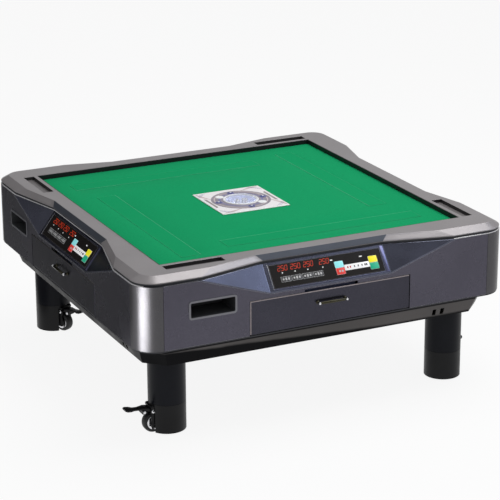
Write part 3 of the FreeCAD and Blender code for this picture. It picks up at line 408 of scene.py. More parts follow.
# Painted shade on the pan: near black low down, towards the left end and in a strip at the top lip.
toned = surface.inputs["Base Color"].links[0].from_socket
pan_shaded = effect(tree, pan_painted_shade, Color=toned, Coat=(0.004, 0.004, 0.005, 1), Level=0.201, Fall=0.051,
                Foot=0.1925, Lip=0.2225)
fill(tree, surface, {"Base Color": pan_shaded["Color"]})
finish("leg_black", (0.0072, 0.0082, 0.0125), (0.3, 0.42), tone=0.3, grit=420, shine=0.13)
finish("caster_black", (0.008, 0.008, 0.009), (0.3, 0.45), grit=600, shine=0.2)
finish("chrome", (0.72, 0.72, 0.74), (0.08, 0.16), tone=0.05, depth=0.003, Metallic=1)
finish("steel_black", (0.03, 0.03, 0.033), (0.4, 0.55), Metallic=0.5)
finish("zinc_grey", (0.24, 0.245, 0.25), (0.4, 0.55), tone=0.25, patch=30, Metallic=0.7)
finish("board_brown", (0.25, 0.16, 0.09), (0.6, 0.75), tone=0.3, patch=60)
finish("hopper_white", (0.62, 0.62, 0.6), (0.4, 0.5))
finish("circuit_green", (0.015, 0.09, 0.035), (0.3, 0.45), tone=0.4, patch=140)
print("finishes so far:", len(finishes))

# %% [markdown]
# ## Dressing the solids
#
# A solid can carry several finishes: its material slots hold them, and each face points at one slot.
# Cutting it up would do the same, but would change the CAD model. `dress` fills the slots by name, and
# `pick` sends the faces that pass a test to a slot, such as the floors of the trays.

# %% Dress the solids
SIDES = ("front", "right", "back", "left")
CORNERS = ("front_left", "front_right", "back_right", "back_left")


def dress(node, names):
    mesh = nodes[node].data
    mesh.materials.clear()
    apply_finishes(mesh, names)
    mesh.polygons.foreach_set("material_index", [0] * len(mesh.polygons))


plan = {"top_rim": "rim_grey tray_dark brow_blue tray_floor", "side_panels": "body_paint body_edge",
        "score_housings": "housing_paint housing_edge", "corner_posts": "post_paint",
        "deck_board": "board_brown", "score_boards": "circuit_green", "base_pan": "pan_paint",
        "leg_tubes": "leg_black", "console_column": "chrome"}
shared = {"trim_black": "rim_liner power_inlet", "seal_rubber": "body_seals drum_roller",
          "zinc_grey": "drawer_runners centre_post control_box", "steel_black": "chassis_frame drum_motor",
          "hopper_white": "hopper_ring shuffle_drum"}
for name, wearers in shared.items():
    plan.update(dict.fromkeys(wearers.split(), name))
# Front and back drawers get the bright painted highlight, left and right ones the painted shade.
for side in SIDES:
    edge = "drawer_edge" if side in ("front", "back") else "drawer_edge_dull"
    plan["drawer_face_" + side] = "drawer_paint " + edge
    plan["drawer_box_" + side] = "drawer_lining"
    plan["side_bin_" + side] = "bin_black bin_frame"
for corner in CORNERS:
    plan["caster_hood_" + corner] = "caster_black"
for node, names in plan.items():
    dress(node, names)
print("solids dressed:", len(plan))

# %% Faces with a finish of their own
WALL_SLOT, BROW_SLOT, FLOOR_SLOT, LIP_SLOT = 1, 2, 3, 1
TRAY_X, TRAY_Y, TRAY_LID = (-396.1, -248.9), (-435.6, -408.9), 415.9
LEVEL, STEEP = 0.9, 0.75
BROW_Z, BROW_OUT, BROW_HALF = (403, 415.8), 430, 130
BODY_HALF = box_mm("side_panels")[1][0]
LIP_FROM = BODY_HALF + 0.05


def spin(angle, axis):
    return Matrix.Rotation(radians(angle), 4, axis)


TURNS = [spin(90 * number, "Z") for number in range(4)]


def pick(node, slot, test):
    chosen = [face for face in nodes[node].data.polygons if test(face)]
    for face in chosen:
        face.material_index = slot
    return len(chosen)


def turns_into(spot, xs, ys):
    spots = [turn @ spot for turn in TURNS]
    return any(xs[0] < turned.x < xs[1] and ys[0] < turned.y < ys[1] for turned in spots)


def in_tray(face):
    return face.center.z / MM < TRAY_LID and turns_into(face.center / MM, TRAY_X, TRAY_Y)


def on_brow(face):
    across, out = sorted((abs(face.center.x) / MM, abs(face.center.y) / MM))
    steep = max(abs(face.normal.x), abs(face.normal.y)) > STEEP
    return steep and BROW_Z[0] < face.center.z / MM < BROW_Z[1] and out > BROW_OUT and across < BROW_HALF


def on_bin_lip(face):
    return max(abs(face.center.x), abs(face.center.y)) / MM > LIP_FROM


# The trays' walls and floors and the brows take their painted shade here.
print("tray faces:", pick("top_rim", WALL_SLOT, in_tray))
floors = pick("top_rim", FLOOR_SLOT, lambda face: face.normal.z > LEVEL and in_tray(face))
print("of which floors:", floors)
print("brow faces:", pick("top_rim", BROW_SLOT, on_brow))
print("bin lip faces:", [pick("side_bin_" + side, LIP_SLOT, on_bin_lip) for side in SIDES])

# %% [markdown]
# ## Softened edges
#
# Edges in CAD are knife sharp, and a sharp edge never catches light. Remodelling would be slow, so
# modifiers do it: split points are welded, flat areas become single faces, a narrow bevel rounds what
# is left, and the shading is smooth up to a set angle. The bevel can take its own lighter finish, a
# painted highlight for thin light lines along the edges. The panels' upright seams and the drawers'
# lower and right-hand edges shouldn't shine, so a last node group finds the faces that look their way
# and paints them again in the plain paint, without the painted highlight.

# %% Smooth shading by angle
smoother, given, result = new_group("smooth_by_angle", "Geometry Angle", "Geometry", "GeometryNodeTree")
tree = smoother
plain = place(tree, "GeometryNodeRemoveAttribute", {"Geometry": given["Geometry"], "Name": "custom_normal"})
all_smooth = place(tree, "GeometryNodeSetShadeSmooth", {"Geometry": plain[0]}, domain="FACE")
bend = place(tree, "GeometryNodeInputMeshEdgeAngle")
gentle = place(tree, "FunctionNodeCompare", {0: bend[0], 1: given["Angle"]}, data_type="FLOAT",
               operation="LESS_THAN")
sharing = place(tree, "GeometryNodeInputMeshEdgeNeighbors")
paired = place(tree, "FunctionNodeCompare", {2: sharing[0], 3: 2}, data_type="INT", operation="EQUAL")
joined = place(tree, "FunctionNodeBooleanMath", {0: gentle[0], 1: paired[0]}, operation="AND")
creased = place(tree, "GeometryNodeSetShadeSmooth",
                {"Geometry": all_smooth[0], "Shade Smooth": joined[0]}, domain="EDGE")
tree.links.new(creased[0], result["Geometry"])
print("geometry group:", tree.name)

# %% Bevels
WELD_WITHIN, FLAT_WITHIN, OWN_SLOT = 0.01 * MM, radians(0.2), -1


def modify(node, name, kind, **settings):
    made = nodes[node].modifiers.new(name, kind)
    set_all(made, settings)
    return made


def add_nodes(node, name, group, **values):
    made = modify(node, name, "NODES", node_group=group)
    for title, value in values.items():
        made[group.interface.items_tree[title].identifier] = value


def soften(node, width=0.0, edge_slot=OWN_SLOT, angle=32):
    limit = radians(angle)
    modify(node, "weld", "WELD", merge_threshold=WELD_WITHIN)
    if width:
        modify(node, "flatten", "DECIMATE", decimate_type="DISSOLVE", angle_limit=FLAT_WITHIN,
               delimit={"MATERIAL"})
        modify(node, "bevel", "BEVEL", width=width * MM, segments=2, limit_method="ANGLE",
               angle_limit=limit, miter_outer="MITER_ARC", material=edge_slot)
    add_nodes(node, "smooth", smoother, Angle=limit)
    if width:
        modify(node, "weigh", "WEIGHTED_NORMAL", keep_sharp=True)


# A bevel with slot 1 takes the lighter edge finish: a painted highlight along that edge.
edges = {"top_rim": (0.8, OWN_SLOT, 14), "side_panels": (0.8, 1, 14), "score_housings": (0.8, 1, 8),
         "rim_liner": (0.4,), "body_seals": (0.6,), "corner_posts": (0.4,), "base_pan": (1.0,)}
for side in SIDES:
    edges["drawer_face_" + side] = (1.3, 1)
    edges["drawer_box_" + side] = (0.5,)
    edges["side_bin_" + side] = (0.3,)
for corner in CORNERS:
    edges["caster_hood_" + corner] = (0.5,)
for node in plan:
    soften(node, *edges.get(node, ()))
print("softened:", len(plan), "of which beveled:", len(edges))

# %% Edges back in plain paint
UPRIGHT = {"Toward": (0, 0, 1), "Tilt": 0.0, "Spread": 0.15}
HALF_TURNED = {"Tilt": 0.6, "Spread": 0.45}
seams, given, result = new_group("plain_paint_on_edges", "Geometry Toward Tilt Spread", "Geometry",
                                 "GeometryNodeTree")
normals = place(seams, "GeometryNodeInputNormal")[0]
lean = place(seams, "ShaderNodeVectorMath", {0: normals, 1: given["Toward"]}, operation="DOT_PRODUCT")
matches = place(seams, "FunctionNodeCompare",
                {0: lean["Value"], 1: given["Tilt"], "Epsilon": given["Spread"]},
                data_type="FLOAT", operation="EQUAL")
painted = place(seams, "GeometryNodeSetMaterialIndex",
                {"Geometry": given["Geometry"], "Selection": matches[0], "Material Index": 0})
seams.links.new(painted[0], result["Geometry"])

add_nodes("side_panels", "seams", seams, **UPRIGHT)
# On the drawers this takes the painted highlight off the lower and right-hand bevels, so they stay dark.
for side, turn in zip(SIDES, TURNS):
    for toward in (Vector((0, 0, -1)), turn @ Vector((1, 0, 0))):
        add_nodes("drawer_face_" + side, "seams", seams, Toward=toward, **HALF_TURNED)
print("geometry group:", seams.name)

# %% [markdown]
# ## Tools for new pieces
#
# New pieces are built point by point in a bmesh, a mesh that code can still change. Three shapes cover
# most of them: a slab cut to an outline, a piece turned round an axis, and a loft through sections,
# capped or closed into a ring. `piece` makes the object, lets it ride on a CAD body, names its slot and
# hides the solid that it stands for.

# %% Outlines and points
def move(x, y, z):
    return Matrix.Translation(Vector((x, y, z)) * MM)


def within(limits, border):
    return limits[0] + border, limits[1] - border


def rounded(xs, ys, radius, steps=3):
    centres = rectangle(within(xs, radius), within(ys, radius))
    points = []
    for (x, y), start in zip(centres[2:] + centres[:2], (0, 90, 180, 270)):
        for step in range(steps + 1):
            angle = radians(start + 90 * step / steps)
            points.append((x + radius * cos(angle), y + radius * sin(angle)))
    return points


def add_points(bm, spot, points):
    return [bm.verts.new(spot @ (Vector(point) * MM)) for point in points]


def bridge(bm, first, second, slot):
    count = len(first)
    for index in range(count):
        following = (index + 1) % count
        face = bm.faces.new((first[index], first[following], second[following], second[index]))
        face.material_index = slot


def round_edges(bm, edges, offset, segments=2, **options):
    bmesh.ops.bevel(bm, geom=edges, offset=offset * MM, segments=segments, profile=0.5, affect="EDGES",
                    **options)


print("points of a rounded outline:", len(rounded((0, 9), (0, 9), 2)))

# %% Slabs, turned pieces and lofts
def add_slab(bm, outline, low, high, spot=Matrix(), slot=0, round_over=0.0):
    bottom = add_points(bm, spot, [(x, y, low) for x, y in outline])
    top = add_points(bm, spot, [(x, y, high) for x, y in outline])
    bm.faces.new(bottom).material_index = slot
    lid = bm.faces.new(top)
    lid.material_index = slot
    bridge(bm, bottom, top, slot)
    if round_over:
        round_edges(bm, list(lid.edges), round_over, clamp_overlap=True)


def add_bars(bm, bars, low, high, spot, round_over=0.0):
    for xs, ys, slot in bars:
        add_slab(bm, rectangle(xs, ys), low, high, spot, slot, round_over)


def add_turned(bm, profile, spot=Matrix(), steps=32, slots=None):
    turns = [2 * pi * step / steps for step in range(steps)]
    rings = []
    for radius, height in profile:
        around = turns if radius else turns[:1]
        circle = [(radius * cos(turn), radius * sin(turn), height) for turn in around]
        rings.append(add_points(bm, spot, circle))
    for number, (first, second) in enumerate(zip(rings, rings[1:])):
        slot = slots[number] if slots else 0
        if len(first) == len(second):
            bridge(bm, first, second, slot)
            continue
        tip, ring = (first[0], second) if len(first) == 1 else (second[0], first)
        for index in range(steps):
            bm.faces.new((tip, ring[index], ring[(index + 1) % steps])).material_index = slot


def add_loft(bm, sections, spot=Matrix(), closed=False):
    rings = [add_points(bm, spot, section) for section in sections]
    following = rings[1:] + rings[:1] if closed else rings[1:]
    for first, second in zip(rings, following):
        bridge(bm, first, second, 0)
    if not closed:
        bm.faces.new(rings[0])
        bm.faces.new(rings[-1])


trial = bmesh.new()
add_slab(trial, rectangle((0, 9), (0, 9)), 0, 1)
print("faces of a plain slab:", len(trial.faces))
trial.free()

# %% From shape to piece
SHARP_FROM = radians(35)


def piece(name, bm, body, names, stands_for=None):
    bmesh.ops.recalc_face_normals(bm, faces=bm.faces)
    mesh = bpy.data.meshes.new(name)
    bm.to_mesh(mesh)
    bm.free()
    mesh.shade_smooth()
    mesh.set_sharp_from_angle(angle=SHARP_FROM)
    apply_finishes(mesh, names)
    thing = add_object(name, mesh)
    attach(thing, body)
    if stands_for:
        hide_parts(stands_for)
    print(name, "faces:", len(mesh.polygons))
    return thing

# %% [markdown]
# ## The felt
#
# The playing field is green felt, cut round the console and the four tile lifts. Its board could carry
# a green paint, but cloth has thickness, a soft edge and a sheen. The sheet is a grid of cells between
# the cut lines, with the cells of the openings left out, so it stays one clean layer of quads.

# %% Felt finish
tree, surface = new_finish("felt_green")
strands = effect(tree, fibres, Color=(0.007, 0.34, 0.128, 1), Scale=950)
pile = place(tree, "ShaderNodeBump", {"Distance": 0.05 * MM, "Height": strands["Height"]})
rubbed = effect(tree, handling, Clean=0.82, Marked=0.95, Scale=5)
fill(tree, surface, {"Base Color": strands["Color"], "Normal": pile["Normal"],
                     "Roughness": rubbed["Roughness"], "Specular IOR Level": 0.04, "Sheen Weight": 0.01})
print("finishes so far:", len(finishes))

# %% Felt
LIFT_GAP, CONSOLE_HOLE, SOFT_EDGE = 0.6, 80, 0.5
felt_low, felt_high = box_mm("playing_mat")
LIFT_X, LIFT_Y, (_, LIFT_TOP) = zip(*box_mm("tile_lift_front"))


def in_opening(x, y):
    return max(abs(x), abs(y)) < CONSOLE_HOLE or turns_into(Vector((x, y, 0)), LIFT_X, LIFT_Y)


lines = [felt_high[0], CONSOLE_HOLE, *within(LIFT_X, -LIFT_GAP), *within(LIFT_Y, -LIFT_GAP)]
cuts = sorted({sign * line for sign in (-1, 1) for line in lines})
bm = bmesh.new()
corner_at = {(x, y): bm.verts.new(Vector((x, y, felt_high[2])) * MM) for x in cuts for y in cuts}
for xs in zip(cuts, cuts[1:]):
    for ys in zip(cuts, cuts[1:]):
        if not in_opening(sum(xs) / 2, sum(ys) / 2):
            bm.faces.new([corner_at[spot] for spot in rectangle(xs, ys)])
bmesh.ops.delete(bm, geom=[vert for vert in bm.verts if not vert.link_faces], context="VERTS")
felt_area = sum(face.calc_area() for face in bm.faces)
rim_edges = [edge for edge in bm.edges if edge.is_boundary]
pulled = bmesh.ops.extrude_face_region(bm, geom=list(bm.faces), use_keep_orig=True)
bmesh.ops.translate(bm, vec=(0, 0, (felt_low[2] - felt_high[2]) * MM),
                    verts=[part for part in pulled["geom"] if isinstance(part, bmesh.types.BMVert)])
round_edges(bm, rim_edges, SOFT_EDGE, clamp_overlap=True)
felt = piece("playing_felt", bm, "table", "felt_green", stands_for="playing_mat")
print("felt area:", round(felt_area, 4))

# %% [markdown]
# ## The tile lifts
#
# Four long bars carry the walls of tiles up from the machine. At rest they lie level with the felt and
# only a fine lighter outline shows. The bars are CAD solids with a flocked green finish. A painted line
# would blur, so four thin strips make the outline in a painted highlight, bright toward the console and
# fainter elsewhere.

# %% Lifts
finish("lift_green", (0.007, 0.333, 0.125), (0.8, 0.92), tone=0.12, patch=300, grit=1100, depth=0.04,
       shine=0.04)
# Painted highlight for the lift outlines: bright toward the console, faint on the other sides.
finish("edging_green", (0.06, 0.5, 0.24), (0.5, 0.6), shine=0.2)
finish("edging_dull", (0.018, 0.4, 0.165), (0.5, 0.6), shine=0.1)
STRIP, STRIP_SINKS, STRIP_RISES = 1.3, 0.1, 0.2
(start, end), (outer, inner) = LIFT_X, LIFT_Y
between = within(LIFT_Y, STRIP)
STRIPS = ((LIFT_X, (inner - STRIP, inner), 0), (LIFT_X, (outer, outer + STRIP), 1),
          ((start, start + STRIP), between, 1), ((end - STRIP, end), between, 1))
for side, turn in zip(SIDES, TURNS):
    dress("tile_lift_" + side, "lift_green")
    soften("tile_lift_" + side, 0.4)
    bm = bmesh.new()
    add_bars(bm, STRIPS, LIFT_TOP - STRIP_SINKS, LIFT_TOP + STRIP_RISES, turn)
    piece("lift_edging_" + side, bm, "lift_" + side, "edging_green edging_dull")

# %% [markdown]
# ## The score displays
#
# Behind a dark window, lit bars show four scores of three digits. Below and beside them lies a printed
# keypad. A picture would be quick, but it goes soft close up. Here each digit is seven bars, lit or
# unlit, and each key a thin rounded slab with printed marks. All is drawn flat, and the matrices in
# `DISPLAYS` tilt it onto the slanted face of each side.

# %% Display finishes
finish("window_black", (0.018, 0.016, 0.015), (0.12, 0.2), depth=0.002, shine=0.25)
# A painted highlight for the window's bevelled edge.
finish("window_edge", (0.16, 0.15, 0.15), (0.2, 0.3))
finish("segment_lit", (0.66, 0.04, 0.006), (0.3, 0.4), glow=0.42, patch=400)
finish("segment_dark", (0.022, 0.01, 0.008), (0.3, 0.4))
KEY_COLOURS = {"white": (0.9, 0.9, 0.9), "cyan": (0.28, 0.8, 0.83), "yellow": (0.92, 0.82, 0.008),
               "green": (0.006, 0.4, 0.22)}
# The keys glow a little: painted light.
for name, colour in KEY_COLOURS.items():
    finish("key_" + name, colour, glow=0.3, tone=0.05)
finish("key_red", (0.72, 0.03, 0.018), glow=0.3, tone=0.08)
finish("key_grey", (0.035, 0.033, 0.032), tone=0.08)
finish("key_line", (0.12, 0.12, 0.12), tone=0.08)
# The white marks glow: painted light.
finish("mark_white", (0.8, 0.8, 0.8), (0.4, 0.5), glow=0.45)
PRINTS = {"white": (0.62, 0.62, 0.62), "red": (0.55, 0.03, 0.03), "grey": (0.25, 0.25, 0.26),
          "dark": (0.01, 0.01, 0.012)}
for name, colour in PRINTS.items():
    finish("print_" + name, colour, (0.4, 0.5))
dress("score_windows", "window_black window_edge")
soften("score_windows", 0.5, 1)
print("finishes so far:", len(finishes))

# %% Digits
SLOPE_COS, SLOPE_SIN, SLOPE_FOOT = 0.6067, 0.7950, 338
FACE, SEGMENT_RISE, SEGMENT_GAP = 0.8, 0.15, 0.25
WIDE, TALL, THICK, SLANT = 6.4, 12.0, 1.05, tan(radians(10))
SCORE, SCORE_STARTS, DIGIT_STEP, DIGIT_FOOT = "250", (-126, -92.5, -59, -17.5), 9, 47.5
SEGMENTS = {"top": (0, 2, 1, 2), "middle": (0, 1, 1, 1), "bottom": (0, 0, 1, 0), "left_high": (0, 1, 0, 2),
            "left_low": (0, 0, 0, 1), "right_high": (1, 1, 1, 2), "right_low": (1, 0, 1, 1)}
UNLIT = {"2": ("left_high", "right_low"), "5": ("left_low", "right_high"), "0": ("middle",)}
slope = move(0, -BODY_HALF, SLOPE_FOOT) @ Matrix(((1, 0, 0, 0), (0, SLOPE_COS, -SLOPE_SIN, 0),
                                                  (0, SLOPE_SIN, SLOPE_COS, 0), (0, 0, 0, 1)))
DISPLAYS = [turn @ slope for turn in TURNS]


def add_digit(bm, figure, left, spot):
    for name, (x0, y0, x1, y1) in SEGMENTS.items():
        start = Vector((x0 * WIDE, y0 * TALL / 2))
        end = Vector((x1 * WIDE, y1 * TALL / 2))
        along = (end - start).normalized()
        across = Vector((-along.y, along.x)) * THICK / 2
        first = start + along * SEGMENT_GAP
        last = end - along * SEGMENT_GAP
        tip = along * THICK / 2
        corners = (first, first + tip + across, last - tip + across, last, last - tip - across,
                   first + tip - across)
        outline = [(left + point.x + point.y * SLANT, DIGIT_FOOT + point.y) for point in corners]
        add_slab(bm, outline, FACE, FACE + SEGMENT_RISE, spot, int(name in UNLIT[figure]))


bm = bmesh.new()
for spot in DISPLAYS:
    for start in SCORE_STARTS:
        for column, figure in enumerate(SCORE):
            add_digit(bm, figure, start + DIGIT_STEP * column, spot)
piece("score_digits", bm, "table", "segment_lit segment_dark")

# %% Keys
KEY_TOP, KEY_ROUND, KEY_EDGE, LABEL_TOP, LABEL_BORDER, LABEL_EDGE = 1.4, 1.5, 0.25, 1.2, 1, 0.2
LABEL_SLOT, LINE_SLOT, LABEL_SINKS = 5, 6, 0.1
KEYS = (((20, 43), (32, 48), 1), ((20, 43), (15, 31.4), 2), ((43.6, 109.4), (22.5, 36.5), 0),
        ((110, 133), (32, 48), 3), ((110, 133), (15, 31.4), 4))
LABEL_LEFTS, LABEL_WIDE, LABEL_YS = (-124.5, -96.5, -68.5, -40.5), 27, (19, 33)
bm = bmesh.new()
for spot in DISPLAYS:
    for xs, ys, slot in KEYS:
        add_slab(bm, rounded(xs, ys, KEY_ROUND), FACE, KEY_TOP, spot, slot, KEY_EDGE)
    for left in LABEL_LEFTS:
        xs = (left, left + LABEL_WIDE)
        add_slab(bm, rounded(xs, LABEL_YS, KEY_ROUND), FACE, LABEL_TOP, spot, LINE_SLOT)
        inner = rounded(within(xs, LABEL_BORDER), within(LABEL_YS, LABEL_BORDER), LABEL_BORDER)
        add_slab(bm, inner, LABEL_TOP - LABEL_SINKS, KEY_TOP, spot, LABEL_SLOT, LABEL_EDGE)
piece("score_keypads", bm, "table", "key_white key_cyan key_red key_yellow key_green key_grey key_line",
      stands_for="score_keys")

# %% Printed marks
INK = 0.08
ON_WINDOW, WHITE, RED, GREY, DARK = range(5)
marks = [(x, y, 2.6, 2.6, ON_WINDOW) for x, y in ((-116, 42), (-83, 41.5), (-50, 40.6), (-11, 40))]
marks += [(15, 53.25, 6, 2.5, ON_WINDOW), (92.5, 51.25, 7, 2.5, ON_WINDOW)]
for number, left in enumerate(LABEL_LEFTS):
    for column in range(3):
        uneven = (number * 3 + column * 2) % 3
        marks.append((left + 6.7 + 7 * column, 26, 4.2, 4.5 + uneven, WHITE))
marks += [(x, 23.2, 4.5, 5, WHITE) for x in (29.25, 36.25)]
for ink, columns in ((RED, (51.8, 58.8)), (GREY, (69.8, 79.8, 89.8)), (DARK, (97.8, 102.3))):
    marks += [(x, 29.7, 3.6, 5, ink) for x in columns]
bm = bmesh.new()
for spot in DISPLAYS:
    for x, y, wide, tall, ink in marks:
        outline = rectangle(within((x, x), -wide / 2), within((y, y), -tall / 2))
        low = FACE if ink == ON_WINDOW else KEY_TOP
        add_slab(bm, outline, low, low + INK, spot, ink)
piece("score_marks", bm, "table", "mark_white print_white print_red print_grey print_dark")

# %% Display frames
finish("frame_violet", (0.17, 0.17, 0.28), (0.25, 0.35), tone=0.15, patch=40, Metallic=1)
finish("frame_line", (0.11, 0.11, 0.14), (0.3, 0.4), tone=0.15, patch=40, Metallic=0.9)
# A painted highlight for the thin bar on the left of each window.
finish("frame_bright", (0.55, 0.55, 0.54), (0.25, 0.35), tone=0.15, patch=40, Metallic=0.3)
FRAME_LOW, FRAME_TOP, FRAME_ROUND = -0.2, 0.7, 0.3
FRAME_BARS = (((-149.2, -147.8), (4.2, 67.2), 2), ((148.4, 157), (3.2, 69), 0),
              ((-147.8, 148.4), (4.2, 5.4), 1), ((-147.8, 148.4), (66.2, 67.2), 1))
bm = bmesh.new()
for spot in DISPLAYS:
    add_bars(bm, FRAME_BARS, FRAME_LOW, FRAME_TOP, spot, FRAME_ROUND)
piece("display_frames", bm, "table", "frame_violet frame_line frame_bright")

# %% [markdown]
# ## Trim on the body
#
# Thin mouldings finish the sides. The bead under the rim carries a painted highlight on the left and
# right sides and at the right end of the other two, and painted shade elsewhere. Each bin has a rounded
# frame over its square edge, in a lighter painted highlight, and each finger slot a folded dark blue
# lining. Bead and frames could be bevelled curves. As lofts, a few points of the section follow the
# outline row by row, and the last row joins the first.

# %% Bead under the rim
# A painted highlight for the bead.
finish("bead_pale", (0.82, 0.81, 0.82), (0.25, 0.35), Metallic=0.15)
BEAD_END, WAIST_END, ROUND_CENTRE, ROUND_STEPS = 331, 159, 427, 12
BEAD_ROWS = ((484.6, 441.6, 395.0), (484.2, 441.4, 396.0), (483.0, 440.9, 396.7), (481.2, 440.1, 396.3),
             (481.2, 440.1, 395.0))


def bead_row(half, waist, level):
    side = [(-BEAD_END, -half), (-WAIST_END, -waist), (WAIST_END, -waist), (BEAD_END, -half)]
    reach = half - ROUND_CENTRE
    for step in range(ROUND_STEPS + 1):
        angle = radians(-90 + 90 * step / ROUND_STEPS)
        side.append((ROUND_CENTRE + reach * cos(angle), -ROUND_CENTRE + reach * sin(angle)))
    return [turn @ Vector((x, y, level)) for turn in TURNS for x, y in side]


bm = bmesh.new()
add_loft(bm, [bead_row(*row) for row in BEAD_ROWS], closed=True)
bead = piece("panel_bead", bm, "table", "bead_pale seal_rubber")
# Each bead face takes the pale painted highlight or the dark painted shade by the side it faces.
for face in bead.data.polygons:
    x, y = face.center.xy / MM
    along = x if y < 0 else -x
    face.material_index = int(abs(y) > abs(x) and along < BEAD_END)

# %% Bin frames and slot linings
finish("slot_navy", (0.105, 0.12, 0.22), (0.4, 0.5))
BIN_X, BIN_Y, BIN_ROUND = (-362, -247), (307, 346), 8
TRIM_ROWS = ((2.2, -0.1), (2.2, 0.4), (1.7, 0.9), (-0.5, 0.9), (-1.0, 0.4), (-1.0, -0.1))
FOLD = ((-481, 332.2), (-469.6, 332.2), (-469.6, 313), (-468.6, 313), (-468.6, 333.2), (-481, 333.2))
SLOT_X = (-71, 71)
outward = spin(90, "X")
panel_face = move(0, -BODY_HALF, 0) @ outward


def trim_row(grow, rise):
    outline = rounded(within(BIN_X, -grow), within(BIN_Y, -grow), BIN_ROUND + grow, 6)
    return [(x, y, rise) for x, y in outline]


# The bin frames wear the painted highlight.
for side, turn in zip(SIDES, TURNS):
    bm = bmesh.new()
    add_loft(bm, [trim_row(*row) for row in TRIM_ROWS], turn @ panel_face, closed=True)
    piece("bin_trim_" + side, bm, "table", "bin_frame")
for side, turn in zip(SIDES, TURNS):
    bm = bmesh.new()
    add_loft(bm, [[(x, y, z) for y, z in FOLD] for x in SLOT_X], turn)
    piece("slot_lining_" + side, bm, "table", "slot_navy")

# %% [markdown]
# ## The console
#
# The white plate in the middle holds two dice under a clear cover, and two buttons. Round the cover lie
# printed rings, lamps and bars. They could be one image. As thin inlays they stay crisp, and each takes
# its own finish. The cup under the cover glows a little.

# %% Console finishes
finish("console_white", (0.93, 0.9, 0.91), (0.22, 0.34), tone=0.05, depth=0.004)
# Near white: the bezel and buttons, a painted highlight on the plate's bevel, a painted glint on lamps.
finish("console_edge", (0.97, 0.98, 0.99), (0.2, 0.3), tone=0.03)
finish("ring_lilac", (0.32, 0.28, 0.33), (0.25, 0.35), tone=0.25, patch=45)
finish("ring_violet", (0.2, 0.2, 0.42), (0.25, 0.35), tone=0.2, patch=60)
finish("corner_pink", (0.66, 0.55, 0.55), (0.25, 0.35), tone=0.12, patch=50)
finish("bar_brown", (0.36, 0.31, 0.3), (0.25, 0.35), tone=0.2, patch=50)
finish("lamp_blue", (0.05, 0.06, 0.26), (0.1, 0.2), tone=0.2, patch=200, Coat_Weight=0.5)
finish("cup_blue", (0.72, 0.76, 0.97), (0.2, 0.3), glow=0.22, tone=0.25, patch=70, depth=0.005)
finish("cover_clear", (0.9, 0.94, 1.0), (0.02, 0.05), tone=0.02, depth=0, Transmission_Weight=1.0, IOR=1.45,
       Alpha=0.25)
CUP_RADIUS, CUP_BRIM, CUP_SLOT = 38.1, 406.2, 2


def in_cup(face):
    return face.center.xy.length / MM < CUP_RADIUS and face.center.z / MM < CUP_BRIM


dress("console_plate", "console_white console_edge cup_blue")
print("cup faces:", pick("console_plate", CUP_SLOT, in_cup))
# The plate's bevel takes the near-white finish: a painted highlight.
soften("console_plate", 0.6, 1)
dress("console_dome", "cover_clear")
soften("console_dome", 0.6)

# %% Console inlays
PLATE = box_mm("console_plate")[1][2]
INLAY_SINKS = 0.1
LILAC, VIOLET, PINK, BROWN = range(4)


def add_ring(bm, inner, outer, rise, slot):
    low = -INLAY_SINKS
    profile = ((inner, low), (inner, rise), (outer, rise), (outer, low), (inner, low))
    add_turned(bm, profile, move(0, 0, PLATE), 64, [slot] * 4)


def add_slip(bm, outline, rise, slot, spot):
    add_slab(bm, outline, PLATE - INLAY_SINKS, PLATE + rise, spot, slot)


bm = bmesh.new()
add_ring(bm, 44, 76, 0.08, LILAC)
add_ring(bm, 52, 56.5, 0.16, VIOLET)
add_ring(bm, 66, 69, 0.16, PINK)
for number, turn in enumerate(TURNS):
    add_slip(bm, ((62, -16), (85, -88), (88, -85), (88, -64)), 0.06, PINK, turn)
    if number % 2:
        add_slip(bm, ((-42, -85), (38, -85), (34, -78.5), (-37, -78.5)), 0.14, BROWN, turn)
    for shift in (0, 4.5, 9):
        stripe = ((58 + shift, -88), (59 + shift, -88), (88, -59 - shift), (88, -58 - shift))
        add_slip(bm, stripe, 0.13, VIOLET, turn)
piece("console_inlay", bm, "console", "ring_lilac ring_violet corner_pink bar_brown")

# %% Console lamps, bezel and buttons
LAMP_AT, BUTTON_AT = 61.5, 40.5
# The centre of each lamp takes the near-white finish: a painted glint.
LAMP = ((9.4, -0.1), (9.4, 0.7), (8.6, 1.0), (7.8, 0.9), (7.4, 1.4), (4.5, 2.0), (2.6, 2.1), (0, 2.3))
BEZEL = ((41.2, -0.1), (41.2, 2.0), (41.8, 2.6), (43.6, 2.6), (44.9, 1.8), (45.4, 0.6), (45.4, -0.1),
         (41.2, -0.1))
BUTTON = ((0, 0), (11, 0), (11, 4.3), (10.4, 4.9), (9.6, 5.0), (8.8, 4.7), (5, 4.85), (0, 4.95))
bm = bmesh.new()
for turn in TURNS:
    add_turned(bm, LAMP, turn @ move(0, -LAMP_AT, PLATE), 28, [0, 0, 0, 1, 1, 1, 2])
piece("console_lamps", bm, "console", "ring_violet lamp_blue console_edge")
bm = bmesh.new()
add_turned(bm, BEZEL, move(0, 0, PLATE), 72)
piece("console_bezel", bm, "console", "console_edge")
for name, way in (("console_button_left", -1), ("console_button_right", 1)):
    foot = box_mm(name)[0][2]
    bm = bmesh.new()
    add_turned(bm, BUTTON, move(way * BUTTON_AT, -way * BUTTON_AT, foot), 36)
    piece(name + "_cap", bm, name, "console_edge", stands_for=name)

# %% [markdown]
# ## The dice
#
# Two dice lie on a turntable under the cover. A die is a cube with rounded edges and hollowed pips
# whose opposite faces add up to seven. At this size flat dark discs read the same as hollows, so each
# pip is a thin turned disc.

